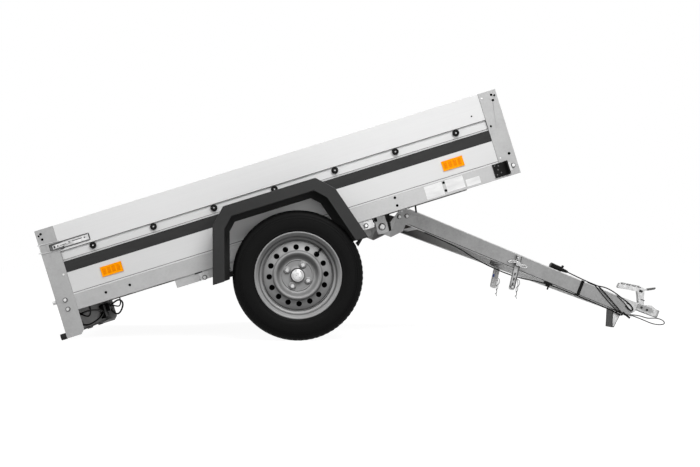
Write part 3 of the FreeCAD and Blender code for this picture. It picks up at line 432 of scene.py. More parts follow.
@dataclass(frozen=True)
class TyreRubber(Finish):
    """Tyre rubber, a little paler where it is dusty, with a fine moulded grain."""

    def dress(self, bench: Bench) -> None:
        """Wires dusty clouds and a fine grain.

        Args:
            bench: the material's bench.
        """
        where = bench.place()
        dust = bench.noise(where, 9, 5, 0.65)
        share = bench.ramp(dust, (0.4, 0), (0.8, 0.8))
        bench.set(
            Base_Color=bench.mix(share, self.colour, darker(self.colour, 2.2)),
            Roughness=(self.rough + (dust - 0.5) * 0.25).held(),
        )
        bench.bump(bench.noise(where, 700, 2, 0.5), 0.00015, 0.3)


@dataclass(frozen=True)
class SilverPaint(Finish):
    """Silver wheel paint: metallic flake, with painted shade where the surface turns away from the eye or
    faces the road.
    """

    def dress(self, bench: Bench) -> None:
        """Wires flakes in the gloss, a faint mottle, and painted shade on grazing sides and on faces that
        look downwards.

        Args:
            bench: the material's bench.
        """
        where = bench.place()
        flake = bench.cells(where, 1500)
        mottle = bench.noise(where, 22, 4, 0.55)
        # Painted shade: grazing sides, where the surface turns away from the eye, are darkened.
        away = bench.node("ShaderNodeLayerWeight", {}, {"Blend": 0.5}, "Facing")
        share = mottle * 0.7 + flake * 0.3
        paint = bench.mix(share.held(), darker(self.colour, 0.9), darker(self.colour, 1.16))
        # Painted shade: faces that look downwards are darkened, as if shaded from the light above.
        paint = bench.mix(bench.ramp(bench.upward(), (0.34, 0), (0.58, 1)), darker(self.colour, 0.42), paint)
        bench.set(
            Base_Color=bench.mix((away * 1.3 - 0.25).held(), paint, darker(self.colour, 0.3)),
            Metallic=0.12,
            Roughness=(self.rough + (flake - 0.5) * 0.1).held(),
        )


@dataclass(frozen=True)
class BrightZinc(Finish):
    """Electroplated steel: soft blotches, partly plating mottle and partly painted reflections, fine brush
    marks, and painted shade where it turns away from the eye.
    """

    metal: float = 0.6
    # edge: the share of colour left where the surface grazes the eye, a painted shade.
    edge: float = 0.35

    def dress(self, bench: Bench) -> None:
        """Wires blotches that are partly painted reflections, brush marks, and painted shade on grazing
        sides.

        Args:
            bench: the material's bench.
        """
        where = bench.place()
        blotch = bench.noise(where, 60, 4, 0.65)
        brushed = bench.noise(bench.place(0, (400, 30, 30)), 2, 2, 0.5)
        away = bench.node("ShaderNodeLayerWeight", {}, {"Blend": 0.5}, "Facing")
        # The blotches darken the plate partly as plating mottle and partly as painted reflections of darker
        # surroundings.
        share = bench.ramp(blotch, (0.32, 0), (0.62, 1))
        plate = bench.mix(share, darker(self.colour, 0.66), self.colour)
        bench.set(
            Base_Color=bench.mix((away * 1.5 - 0.2).held(), plate, darker(self.colour, self.edge)),
            Metallic=self.metal,
            Roughness=(self.rough + (blotch - 0.5) * 0.2 + (brushed - 0.5) * 0.1).held(),
        )
        bench.bump(blotch, 0.0002, 0.3)


@dataclass(frozen=True)
class LensPlastic(Finish):
    """A coloured lens, glossy, with small prisms that vary its depth, and a painted glow where asked."""

    glow: float = 0.0
    prism: float = 440.0

    def dress(self, bench: Bench) -> None:
        """Wires prisms in the bump and in the depth of colour.

        Args:
            bench: the material's bench.
        """
        where = bench.place(BED_TILT)
        prism = bench.cells(where, self.prism)
        patch = bench.noise(where, 60, 2, 0.4)
        body = bench.mix((prism * 0.5 + patch * 0.5).held(), darker(self.colour, 0.72), self.colour)
        bench.set(Base_Color=body, Roughness=self.rough)
        # Painted glow: the lens gives off light of its own colour though it is no lit lamp.
        if self.glow:
            bench.set(Emission_Color=body, Emission_Strength=self.glow)
        bench.bump(prism, 0.0004, 0.5)


@dataclass(frozen=True)
class FilmedPly(Finish):
    """Film-faced plywood, embossed with a mesh of dots."""

    def dress(self, bench: Bench) -> None:
        """Wires the mesh of dots and a scuffed film.

        Args:
            bench: the material's bench.
        """
        where = bench.place(BED_TILT)
        grid = {"Vector": where, "Scale": 220, "Randomness": 0.0}
        dots = bench.node("ShaderNodeTexVoronoi", {"feature": "F1"}, grid)
        scuff = bench.noise(where, 6, 4, 0.6)
        worn = bench.ramp(scuff, (0.3, 0), (0.8, 1))
        bench.set(
            Base_Color=bench.mix(worn, self.colour, darker(self.colour, 1.5)),
            Roughness=(self.rough + (scuff - 0.5) * 0.2).held(),
        )
        bench.bump(dots, 0.0006, 0.6)


@dataclass(frozen=True)
class SmoothFilm(Finish):
    """Cut film, dark gap, or dark film painted as shade and shadow: smooth, with a trace of dust."""

    def dress(self, bench: Bench) -> None:
        """Wires a faint orange peel and some dust.

        Args:
            bench: the material's bench.
        """
        where = bench.place(BED_TILT, (1, 1, 4))
        dust = bench.noise(where, 12, 4, 0.6)
        share = bench.ramp(dust, (0.35, 0), (0.8, 1))
        bench.set(
            Base_Color=bench.mix(share, self.colour, darker(self.colour, 1.3)),
            Roughness=(self.rough + (dust - 0.5) * 0.2).held(),
        )
        bench.bump(bench.noise(where, 300, 2, 0.5), 0.00005, 0.3)


class Finishes:
    """The trailer's finishes, one of each."""

    RAIL = Galvanised("rail_zinc", grey(171), 0.45, 0.4, contrast=0.06)
    POST = Galvanised("post_zinc", grey(163), 0.45, 0.4, contrast=0.07)
    BRACKET = Galvanised("bracket_zinc", grey(186), 0.45, 0.4, contrast=0.12)
    UNDER = Galvanised("underside_zinc", grey(124), 0.5, 0.3, contrast=0.12)
    # The drawbar's zinc carries a painted highlight on its upward faces.
    BEAM = Galvanised("drawbar_zinc", grey(160), 0.42, 0.3, contrast=0.11, top=1.0)
    # The two beams carry painted shade on their inner faces near the pivot.
    BEAM_RIGHT = Galvanised("right_beam_zinc", grey(160), 0.42, 0.3, contrast=0.11, top=1.0, grimy=1.0)
    BEAM_LEFT = Galvanised("left_beam_zinc", grey(160), 0.42, 0.3, contrast=0.11, top=1.0, grimy=-1.0)
    # Painted shade: the parking foot's zinc is darkened to near black, as its rear web lies in shadow.
    FOOT = Galvanised("foot_zinc", grey(48), 0.5, 0.2, contrast=0.12)
    UPPER = RolledSheet("upper_sheet", grey(222), 0.6, 0.3, metal=0.05)
    LOWER = RolledSheet("lower_sheet", grey(208), 0.5, 0.4, metal=0.15)
    STRIPE = SmoothFilm("dark_stripe", grey(46), 0.5, 0.12)
    LABEL = SmoothFilm("blank_label", grey(220), 0.5, 0.3)
    FENDER = MouldedPlastic("fender_plastic", grey(36), 0.5, 0.2)
    BLACK = MouldedPlastic("moulded_black", grey(14), 0.5, 0.1, bloom=0.5)
    STUB = MouldedPlastic("stub_rubber", grey(20), 0.6, 0.2, grain=500)
    BOARD = MouldedPlastic("board_coat", grey(100), 0.5, 0.25)
    TYRE = TyreRubber("tyre_rubber", grey(5), 0.5, 0.07)
    RIM = SilverPaint("silver_rim", grey(147), 0.4, 0.2)
    HUB = BrightZinc("dull_plating", grey(104), 0.45, 0.3, metal=0.15)
    CAP = BrightZinc("cap_chrome", grey(222), 0.3, metal=0.3, edge=0.2)
    BRIGHT = BrightZinc("bright_plating", grey(196), 0.32, metal=0.3)
    PALE = BrightZinc("pale_plating", grey(230), 0.34, metal=0.3, edge=0.25)
    # The amber lenses carry a painted glow: the reflectors and the unlit turn lens shine as if lit.
    AMBER = LensPlastic("amber_lens", tone(255, 164, 0), 0.35, 0.05, glow=0.22)
    DEEP = LensPlastic("amber_prisms", tone(246, 142, 0), 0.35, 0.05, glow=0.15)
    RED = LensPlastic("red_lens", tone(170, 14, 16), 0.2)
    CLEAR = LensPlastic("clear_lens", grey(222), 0.2)
    PLY = FilmedPly("filmed_ply", tone(74, 52, 38), 0.45)
    # Painted shade: near black, for what is seen in holes and behind the wheel's vents.
    VOID = SmoothFilm("dark_gap", grey(3), 0.9, 0.02)
    SEAM = SmoothFilm("seam_shadow", grey(84), 0.8, 0.1)
    # Dark film for slots, and for painted shadow and shade: under the grip's edge, round the latch and along
    # the beam's foot.
    SLOT = SmoothFilm("pressed_slot", grey(58), 0.7, 0.1)
    MARK = SmoothFilm("blue_mark", tone(16, 60, 150), 0.5)
    WIRE = BrightZinc("steel_rope", grey(98), 0.4, metal=0.4)


@dataclass(frozen=True)
class Stance:
    """A body's own level frame in millimetres, and how it stands in the row frame."""

    origin: Point3
    pitch: float

    @property
    def matrix(self) -> Matrix:
        """The matrix from millimetres in this frame to metres in the row frame."""
        turn = Matrix.Rotation(math.radians(self.pitch), 4, "Y")
        return Matrix.Translation(Vector(self.origin)) @ turn @ Matrix.Scale(MM, 4)


def joint_place(name: str) -> Point3:
    """Where a joint's axis lies, in metres."""
    return tuple(next(j["pos_m"] for j in frame["joints"] if j["name"] == name))


WHEELS = {
    Side.RIGHT: Stance(joint_place("wheel_right_spin"), 0.0),
    Side.LEFT: Stance(joint_place("wheel_left_spin"), 0.0),
}
WHEEL_SPOT = WHEELS[Side.RIGHT].origin
BED = Stance((WHEEL_SPOT[0], 0.0, WHEEL_SPOT[2]), -BED_TILT)
BAR = Stance(joint_place("drawbar_tilt"), BAR_SLOPE)


@dataclass(frozen=True)
class Seat:
    """Where a piece belongs: its frame, its body, its finish and the record's slot."""

    stance: Stance
    body: str
    finish: Finish
    slot: Slot

    def take(self, made: bpy.types.Object, replaces: Sequence[str] = ()) -> bpy.types.Object:
        """Gives an object its finish and body.

        Args:
            made: the object.
            replaces: the nodes that it stands for.

        Returns:
            The object.
        """
        made.data.materials.clear()
        made.data.materials.append(self.finish.material())
        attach(made, self.body)
        if replaces:
            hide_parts(*replaces)
        log.info("%s on %s", made.name, self.body)
        return made


def on_bed(finish: Finish, slot: Slot) -> Seat:
    """A seat on the bed."""
    return Seat(BED, "bed", finish, slot)


def on_bar(finish: Finish, slot: Slot) -> Seat:
    """A seat on the drawbar."""
    return Seat(BAR, "drawbar", finish, slot)


def show(name: str, data: bpy.types.ID) -> bpy.types.Object:
    """Makes an object of some data and links it to the scene.

    Args:
        name: the object's name.
        data: its mesh, curve, lamp or camera.

    Returns:
        The object.
    """
    made = bpy.data.objects.new(name, data)
    bpy.context.scene.collection.objects.link(made)
    return made


def soften(made: bpy.types.Object, width: float, weld: bool = False) -> None:
    """Rounds a piece's edges.

    Args:
        made: the piece.
        width: the rounding's width in millimetres.
        weld: joins the mesh's doubled corners first.
    """
    if weld:
        join = made.modifiers.new("join", "WELD")
        join.merge_threshold = WELD_GAP
    else:
        for face in made.data.polygons:
            face.use_smooth = True
    edge = made.modifiers.new("edges", "BEVEL")
    edge.width = width * MM
    edge.segments = 2
    edge.limit_method = "ANGLE"
    edge.angle_limit = math.radians(SOFT_ANGLE)
    edge.harden_normals = True
    edge.use_clamp_overlap = True


class Mould:
    """Gathers the corners and faces of one piece, in its frame's millimetres."""

    JOIN_GAP = 0.001
    THIN_EDGE = 0.0005

    def __init__(self) -> None:
        """Starts empty."""
        self.points: list[Vector] = []
        self.faces: list[tuple[int, ...]] = []

    def add(self, points: Iterable[Vector], faces: Iterable[Sequence[int]]) -> "Mould":
        """Adds corners and the faces between them.

        Args:
            points: the corners.
            faces: indices into those corners.

        Returns:
            This mould.
        """
        start = len(self.points)
        self.points += [Vector(p) for p in points]
        self.faces += [tuple(start + i for i in face) for face in faces]
        return self

    def prism(self, outline: Sequence[Point2], low: float, high: float, plane: Plane = Plane.XZ) -> "Mould":
        """Adds a straight prism of an outline in a plane, from low to high across that plane."""
        points = [plane.point(u, v, across) for across in (low, high) for u, v in outline]
        return self.add(points, prism_faces(len(outline)))

    def box(self, low: Point3, high: Point3) -> "Mould":
        """Adds a block from its lowest to its highest corner."""
        (x0, y0, z0), (x1, y1, z1) = low, high
        return self.prism([(x0, y0), (x1, y0), (x1, y1), (x0, y1)], z0, z1, Plane.XY)

    def lathe(
        self, outline: Sequence[Point2], centre: Point3, steps: int, axis: Vector = Vector((0, 1, 0))
    ) -> "Mould":
        """Adds a turned piece.

        Args:
            outline: closed, each corner a radius and a place along the axis.
            centre: the axis's point at place 0.
            steps: how many facets round.
            axis: the axis's direction.

        Returns:
            This mould.
        """
        aim = axis.to_track_quat("Z", "Y").to_matrix()
        count = len(outline)
        points = []
        for n in range(steps):
            angle = math.tau * n / steps
            for radius, along in outline:
                spot = Vector((radius * math.cos(angle), radius * math.sin(angle), along))
                points.append(aim @ spot + Vector(centre))
        return self.add(points, ring_faces(count, steps))

    def mesh(self, name: str, stance: Stance) -> bpy.types.Mesh:
        """The mesh in the row frame, its corners joined and its faces turned outwards.

        Args:
            name: the mesh's name.
            stance: the frame that the corners are in.

        Returns:
            The mesh.
        """
        mesh = bpy.data.meshes.new(name)
        mesh.from_pydata(self.points, [], self.faces)
        work = bmesh.new()
        work.from_mesh(mesh)
        bmesh.ops.remove_doubles(work, verts=work.verts, dist=self.JOIN_GAP)
        bmesh.ops.dissolve_degenerate(work, edges=work.edges, dist=self.THIN_EDGE)
        bmesh.ops.recalc_face_normals(work, faces=work.faces)
        work.to_mesh(mesh)
        work.free()
        mesh.transform(stance.matrix)
        return mesh

    def piece(
        self, name: str, seat: Seat, bevel: float = 0.0, replaces: Sequence[str] = (), sharp: float = 35.0
    ) -> bpy.types.Object:
        """Makes the piece and sets it on its body.

        Args:
            name: the piece's name.
            seat: where it belongs.
            bevel: the width of its rounded edges, in millimetres.
            replaces: the nodes that it stands for.
            sharp: the angle from which an edge stays sharp.

        Returns:
            The object.
        """
        made = show(name, self.mesh(name, seat.stance))
        if bevel:
            soften(made, bevel)
        else:
            smooth(made, sharp)
        return seat.take(made, replaces)


def prism_faces(count: int) -> list[Sequence[int]]:
    """The faces of a prism with some corners in its outline: two ends, then the walls."""
    walls = [(i, (i + 1) % count, count + (i + 1) % count, count + i) for i in range(count)]
    return [range(count), range(2 * count - 1, count - 1, -1), *walls]


def ring_faces(count: int, steps: int) -> list[tuple[int, ...]]:
    """The faces between a ring's sections.

    Args:
        count: corners in a section.
        steps: sections round.

    Returns:
        The faces.
    """
    faces = []
    for n in range(steps):
        here, there = n * count, ((n + 1) % steps) * count
        for i in range(count):
            j = (i + 1) % count
            faces.append((here + i, here + j, there + j, there + i))
    return faces


def smooth(made: bpy.types.Object, sharp: float) -> None:
    """Shades a piece smoothly between its sharp edges.

    Args:
        made: the piece.
        sharp: the angle from which an edge stays sharp.
    """
    for face in made.data.polygons:
        face.use_smooth = True
    made.data.set_sharp_from_angle(angle=math.radians(sharp))


def cut(base: bpy.types.Mesh, tool: bpy.types.Mesh) -> bpy.types.Mesh:
    """One mesh with another cut out of it.

    Args:
        base: the mesh that stays.
        tool: the mesh that is cut away.

    Returns:
        The cut mesh.
    """
    kept, knife = show("base", base), show("knife", tool)
    trim = kept.modifiers.new("cut", "BOOLEAN")
    trim.operation = "DIFFERENCE"
    trim.solver = "EXACT"
    trim.object = knife
    graph = bpy.context.evaluated_depsgraph_get()
    made = bpy.data.meshes.new_from_object(kept.evaluated_get(graph))
    for spare in (kept, knife):
        bpy.data.objects.remove(spare)
    return made


def rounded(corners: Sequence[Point2], radius: float, steps: int = 4) -> list[Point2]:
    """A closed outline with every corner rounded.

    Args:
        corners: the sharp corners.
        radius: how far along each side the rounding starts, at most.
        steps: points in each rounding.

    Returns:
        The rounded outline.
    """
    made: list[Point2] = []
    count = len(corners)
    for i, corner in enumerate(corners):
        here = Vector(corner)
        before, after = Vector(corners[i - 1]) - here, Vector(corners[(i + 1) % count]) - here
        reach = min(radius, before.length * 0.45, after.length * 0.45)
        start, end = here + before.normalized() * reach, here + after.normalized() * reach
        for n in range(steps + 1):
            t = n / steps
            spot = start * (1 - t) ** 2 + here * 2 * t * (1 - t) + end * t**2
            made.append((spot.x, spot.y))
    return made


def oblong(x0: float, z0: float, x1: float, z1: float, radius: float = 0.0) -> list[Point2]:
    """A rectangle from its low to its high corner, rounded where a radius is given."""
    plain = [(x0, z0), (x1, z0), (x1, z1), (x0, z1)]
    return rounded(plain, radius) if radius else plain


def disc(radius: float, low: float, high: float) -> list[Point2]:
    """A round plate's section for the lathe, from low to high along its axis."""
    return [(0, low), (radius, low), (radius, high), (0, high)]


def rope(
    name: str, points: Sequence[Point3], radius: float, seat: Seat, replaces: Sequence[str] = ()
) -> bpy.types.Object:
    """A round cable, wire or rod, smooth through the run of its control points.

    Args:
        name: the piece's name.
        points: the control points.
        radius: its radius in millimetres.
        seat: where it belongs.
        replaces: the nodes that it stands for.

    Returns:
        The object.
    """
    line = bpy.data.curves.new(name, "CURVE")
    line.dimensions = "3D"
    line.bevel_depth = radius * MM
    line.bevel_resolution = 4
    line.use_fill_caps = True
    line.resolution_u = 10
    spline = line.splines.new("NURBS")
    spline.points.add(len(points) - 1)
    for spot, point in zip(spline.points, points):
        spot.co = (*(seat.stance.matrix @ Vector(point)), 1)
    spline.order_u = 3
    spline.use_endpoint_u = True
    return seat.take(show(name, line), replaces)


@dataclass
class Fasteners:
    """Bolt heads, rivets and the dark discs painted as holes' shade in one mesh, and the darker washers under
    the heads in another.
    """

    mould: Mould = field(default_factory=Mould)
    washers: Mould = field(default_factory=Mould)
    washer_gauge: float = 1.6
    hole_gauge: float = 0.25
    round_steps: int = 20

    def hexagon(
        self, spot: Point3, axis: Vector, flats: float = 13.0, height: float = 6.0, washer: float = 11.0
    ) -> None:
        """Adds a hexagon head on a washer.

        Args:
            spot: the middle of the washer's seat.
            axis: the way the head points.
            flats: width across the flats.
            height: the head's height.
            washer: the washer's radius.
        """
        reach = flats / 2 / math.cos(math.radians(30))
        self.washers.lathe(disc(washer, 0, self.washer_gauge), spot, self.round_steps, axis)
        top = Vector(spot) + axis.normalized() * self.washer_gauge
        head = [(0, 0), (reach, 0), (reach, height), (reach * 0.86, height + 1), (0, height + 1)]
        self.mould.lathe(head, top, 6, axis)

    def rivet(self, spot: Point3, axis: Vector, radius: float = 5.0) -> None:
        """Adds a low domed rivet, from the middle of its seat and the way it points."""
        shape = ((0, 0), (1, 0), (0.9, 0.3), (0.5, 0.52), (0, 0.6))
        self.mould.lathe([(radius * wide, radius * high) for wide, high in shape], spot, 16, axis)

    def hole(self, spot: Point3, axis: Vector, radius: float = 5.0) -> None:
        """Adds a dark disc a hair above the face, the painted shade of a hole."""
        self.mould.lathe(disc(radius, 0, self.hole_gauge), spot, self.round_steps, axis)

    def piece(self, name: str, seat: Seat) -> None:
        """Makes the heads and, where there are any, their washers.

        Args:
            name: the heads' name.
            seat: where they belong.
        """
        self.mould.piece(name, seat, sharp=28)
        if self.washers.points:
            dull = Seat(seat.stance, seat.body, Finishes.HUB, seat.slot)
            self.washers.piece(f"{name}_washers", dull, sharp=28)


@dataclass
class SidePart:
    """What the classes that build one side of the trailer share."""

    side: Side

    def _out(self, width: float) -> float:
        """A half width as this side's Y coordinate."""
        return width * self.side.value

    @property
    def _aim(self) -> Vector:
        """Straight out of this side."""
        return Vector((0, self.side.value, 0))

    def _span(self, inner: float, outer: float) -> list[float]:
        """Two half widths as this side's Y coordinates, the lower one first."""
        return sorted((self._out(inner), self._out(outer)))

    def _points(self, points: Sequence[Point3]) -> list[Point3]:
        """Points on this side, from ones whose Y is a half width."""
        return [(x, self._out(y), z) for x, y, z in points]

    def _name(self, words: str) -> str:
        """A piece's name on this side."""
        return f"{words}_{self.side.word}"

    def _plate(self, mould: Mould, outline: Sequence[Point2], inner: float, outer: float) -> None:
        """Adds an upright plate of an X and Z outline between two half widths on this side."""
        mould.prism(outline, *self._span(inner, outer))

    def _plates(
        self, name: str, seat: Seat, plates: Sequence[Plate], bevel: float = 0.0, replaces: Sequence[str] = ()
    ) -> None:
        """Makes one piece of plates.

        Args:
            name: the piece's name.
            seat: where it belongs.
            plates: for each plate its outline, and how far out its inner and outer face are.
            bevel: the width of its rounded edges, in millimetres.
            replaces: the nodes that it stands for.
        """
        mould = Mould()
        for plate in plates:
            self._plate(mould, *plate)
        mould.piece(name, seat, bevel, replaces)


@dataclass
class Wheel(SidePart):
    """One wheel: tyre, pressed rim with its vents, valve, and hub with bolts and cap."""

    steps: int = 288
    vents: int = 16
    vent_ring: float = 119.0
    vent_radius: float = 11.8
    vent_turn: float = 92.4
    valve_ring: float = 146.0
    valve_turn: float = 48.0
    bolt_count: int = 4
    bolt_ring: float = 49.0
    bolt_turn: float = 63.0
    groove_every: int = 4
    groove_depth: float = 5.0
    groove_bend: float = 57.0
    shoulder_radius: float = 263.0
    shoulder_half: float = 36.9
    shoulder_lean: float = 0.012
    rib_low: float = 240.9
    rib_high: float = 247.5
    rib_half: float = 70.0
    rib_share: float = 0.992
    half_width: float = 77.5

    def build(self) -> None:
        """Makes the wheel's pieces in order."""
        self.tyre()
        self.rim()
        self.valve()
        self.hub()
        self.bolts()

    def _seat(self, finish: Finish, slot: Slot) -> Seat:
        """A seat on this wheel."""
        return Seat(WHEELS[self.side], self._name("wheel"), finish, slot)

    def _outward(self, outline: Sequence[Point2]) -> list[Point2]:
        """A section with its widths counted towards the wheel's outer face."""
        return [(radius, width * self.side.value) for radius, width in outline]

    def _moulded(self, n: int, radius: float, width: float) -> Vector:
        """A corner of the tyre, set in or turned where a groove or a fine rib is.

        Args:
            n: the section's number round the wheel.
            radius: the corner's radius in the plain section.
            width: its half width there.

        Returns:
            The corner in the wheel's frame.
        """
        turn = math.tau * n / self.steps
        if radius > self.shoulder_radius and abs(width) > self.shoulder_half:
            if n % self.groove_every == 0:
                radius -= self.groove_depth if abs(width) < self.groove_bend else self.groove_depth / 2
            turn += self.shoulder_lean * abs(width) / self.half_width
        elif self.rib_low < radius < self.rib_high and abs(width) > self.rib_half and n % 2:
            width *= self.rib_share
        return Vector((radius * math.sin(turn), self._out(width), radius * math.cos(turn)))

    def tyre(self) -> None:
        """Makes the tyre: bead, ringed and ribbed side wall, and a tread notched at its shoulders."""
        wall = [
            (168.2, 58.3), (172, 66), (180, 70.2), (184, 71.2), (187, 73.6), (191, 74.9), (193.5, 74.4),
            (196, 75.4), (204, 76.8), (212, 77.4), (222, 77.5), (232, 77.2), (238, 76.4), (238.6, 77.3),
            (240.4, 77.2), (241, 76.0), (247.4, 74.4), (248, 75.4), (250.4, 75.2), (251, 73.6),
            (257, 71.6), (261, 69.2), (265, 66.2), (268.4, 62.4), (270.6, 58.6), (271.6, 55.5),
        ]
        tread = [
            (272.4, 48), (272.8, 37.5), (265.8, 36.6), (265.8, 31.4), (273.2, 30.5), (273.4, 17.5),
            (265.8, 16.6), (265.8, 11.4), (273.5, 10.5), (273.5, 0),
        ]
        inside = [(176, -49), (250, -52), (256.5, -44), (256.5, 44), (250, 52), (176, 49)]
        half = wall + tread
        outline = half + [(radius, -width) for radius, width in reversed(half[:-1])] + inside
        points = [self._moulded(n, *spot) for n in range(self.steps) for spot in outline]
        mould = Mould().add(points, ring_faces(len(outline), self.steps))
        seat = self._seat(Finishes.TYRE, Slot.TYRE)
        mould.piece(self._name("tread_tyre"), seat, replaces=[self._name("tyre")], sharp=38)

    def rim(self) -> None:
        """Makes the pressed rim, cuts its ring of round vents and puts a dark disc behind them as painted
        shade.
        """
        outline = [
            (182.5, 70.4), (182.3, 71.6), (181, 72.5), (178.6, 72.7), (176, 72.0), (172.6, 69.4),
            (169.5, 66.4), (166, 64.8), (163.4, 60), (162.6, 50), (160.5, 44), (157.5, 41.6), (153.6, 41),
            (151, 39.4), (149.8, 34), (149.3, 26), (149, 15), (146.2, 14.5), (145.6, 19.6), (144, 22),
            (141, 23), (124, 27.4), (107.5, 31.2), (104.8, 32.8), (103, 36.4), (100.4, 39.4), (97, 40.6),
            (93, 40.6), (89.5, 38.8), (86, 35), (81, 27), (76.5, 20.8), (72, 17.6), (68, 16.6),
            (66.8, 18.4), (64.6, 19), (62.4, 18.4), (61.2, 16.4), (44, 16.2), (34, 16.2), (31.5, 17.2),
            (30.4, 16.6), (30.4, 12.2), (70, 12.2), (77, 15.6), (87, 30.5), (93, 36.5), (97, 36.5),
            (100, 31), (102.5, 27), (124, 23.2), (141, 18.8), (144.2, 13.6), (146.2, 8), (146.2, -30),
            (150, -36), (163, -46), (164, -64), (170, -69), (182.4, -72), (182.4, -69), (171, -66),
            (167.6, -60), (167.6, 60), (171, 66.4), (182.3, 69),
        ]
        stance = WHEELS[self.side]
        base = Mould().lathe(self._outward(outline), (0, 0, 0), 144).mesh("rim", stance)
        holes = Mould()
        punch = self._outward(disc(self.vent_radius, 18, 34))
        for n in range(self.vents):
            angle = math.radians(self.vent_turn + 360 / self.vents * n)
            holes.lathe(punch, (self.vent_ring * math.cos(angle), 0, self.vent_ring * math.sin(angle)), 28)
        made = show(self._name("vented_rim"), cut(base, holes.mesh("vents", stance)))
        smooth(made, 50)
        self._seat(Finishes.RIM, Slot.RIM).take(made, [self._name("rim")])
        # Painted shade: a dark disc behind the vents, so that they look dark through.
        depth = Mould().lathe(self._outward([(104, 13), (140, 13), (140, 14.5), (104, 14.5)]), (0, 0, 0), 72)
        depth.piece(self._name("vent_depth"), self._seat(Finishes.VOID, Slot.RIM))

    def valve(self) -> None:
        """Makes the rubber valve that leans out of the barrel's step."""
        angle = math.radians(self.valve_turn)
        out = Vector((math.cos(angle) * -0.5, self._out(0.86), math.sin(angle) * -0.5))
        spot = (self.valve_ring * math.cos(angle), self._out(30), self.valve_ring * math.sin(angle))
        stem = [(0, 0), (6, 0), (5.5, 10), (3.6, 14), (3.6, 26), (4.4, 27), (4.4, 36), (3.4, 38), (0, 38)]
        mould = Mould().lathe(stem, spot, 16, out)
        mould.piece(self._name("valve"), self._seat(Finishes.BLACK, Slot.RUBBER), sharp=40)

    def hub(self) -> None:
        """Makes the hub with its flange, and the bright dust cap."""
        drum = [
            (15.2, -57.5), (40, -57.5), (45.6, -52), (45.6, -6), (50, 0.4),
            (63.6, 0.6), (63.6, 11.6), (28, 11.8), (15.2, 12),
        ]
        mould = Mould().lathe(self._outward(drum), (0, 0, 0), 72)
        mould.piece(self._name("bored_hub"), self._seat(Finishes.HUB, Slot.HUB), replaces=[self._name("hub")])
        cap = [
            (0, 13), (27.2, 13), (27.4, 34), (26.9, 36.8), (25.3, 38.6), (23.0, 39.4),
            (21.4, 39.6), (20.6, 41.4), (19.2, 42.6), (16, 43.8), (10, 44.8), (0, 45.2),
        ]
        shell = Mould().lathe(self._outward(cap), (0, 0, 0), 56)
        shell.piece(self._name("dust_cap"), self._seat(Finishes.CAP, Slot.HUB), sharp=60)

    def bolts(self) -> None:
        """Makes the wheel bolts, each on a round pad pressed in the disc."""
        heads, pads = Mould(), Mould()
        pad = self._outward([(0, 15.6), (17.4, 15.6), (16.8, 18.6), (15, 19.8), (0, 19.8)])
        crown = [(0, 19), (13.4, 19), (13, 21), (11.4, 22.2), (10.6, 30), (8.6, 32.2), (0, 32.4)]
        head = self._outward(crown)
        for n in range(self.bolt_count):
            angle = math.radians(self.bolt_turn + 360 / self.bolt_count * n)
            spot = (self.bolt_ring * math.cos(angle), 0, self.bolt_ring * math.sin(angle))
            pads.lathe(pad, spot, 32)
            heads.lathe(head, spot, 6)
        pads.piece(self._name("bolt_pads"), self._seat(Finishes.RIM, Slot.RIM), sharp=50)
        heads.piece(self._name("wheel_bolts"), self._seat(Finishes.BRIGHT, Slot.HUB), sharp=30)


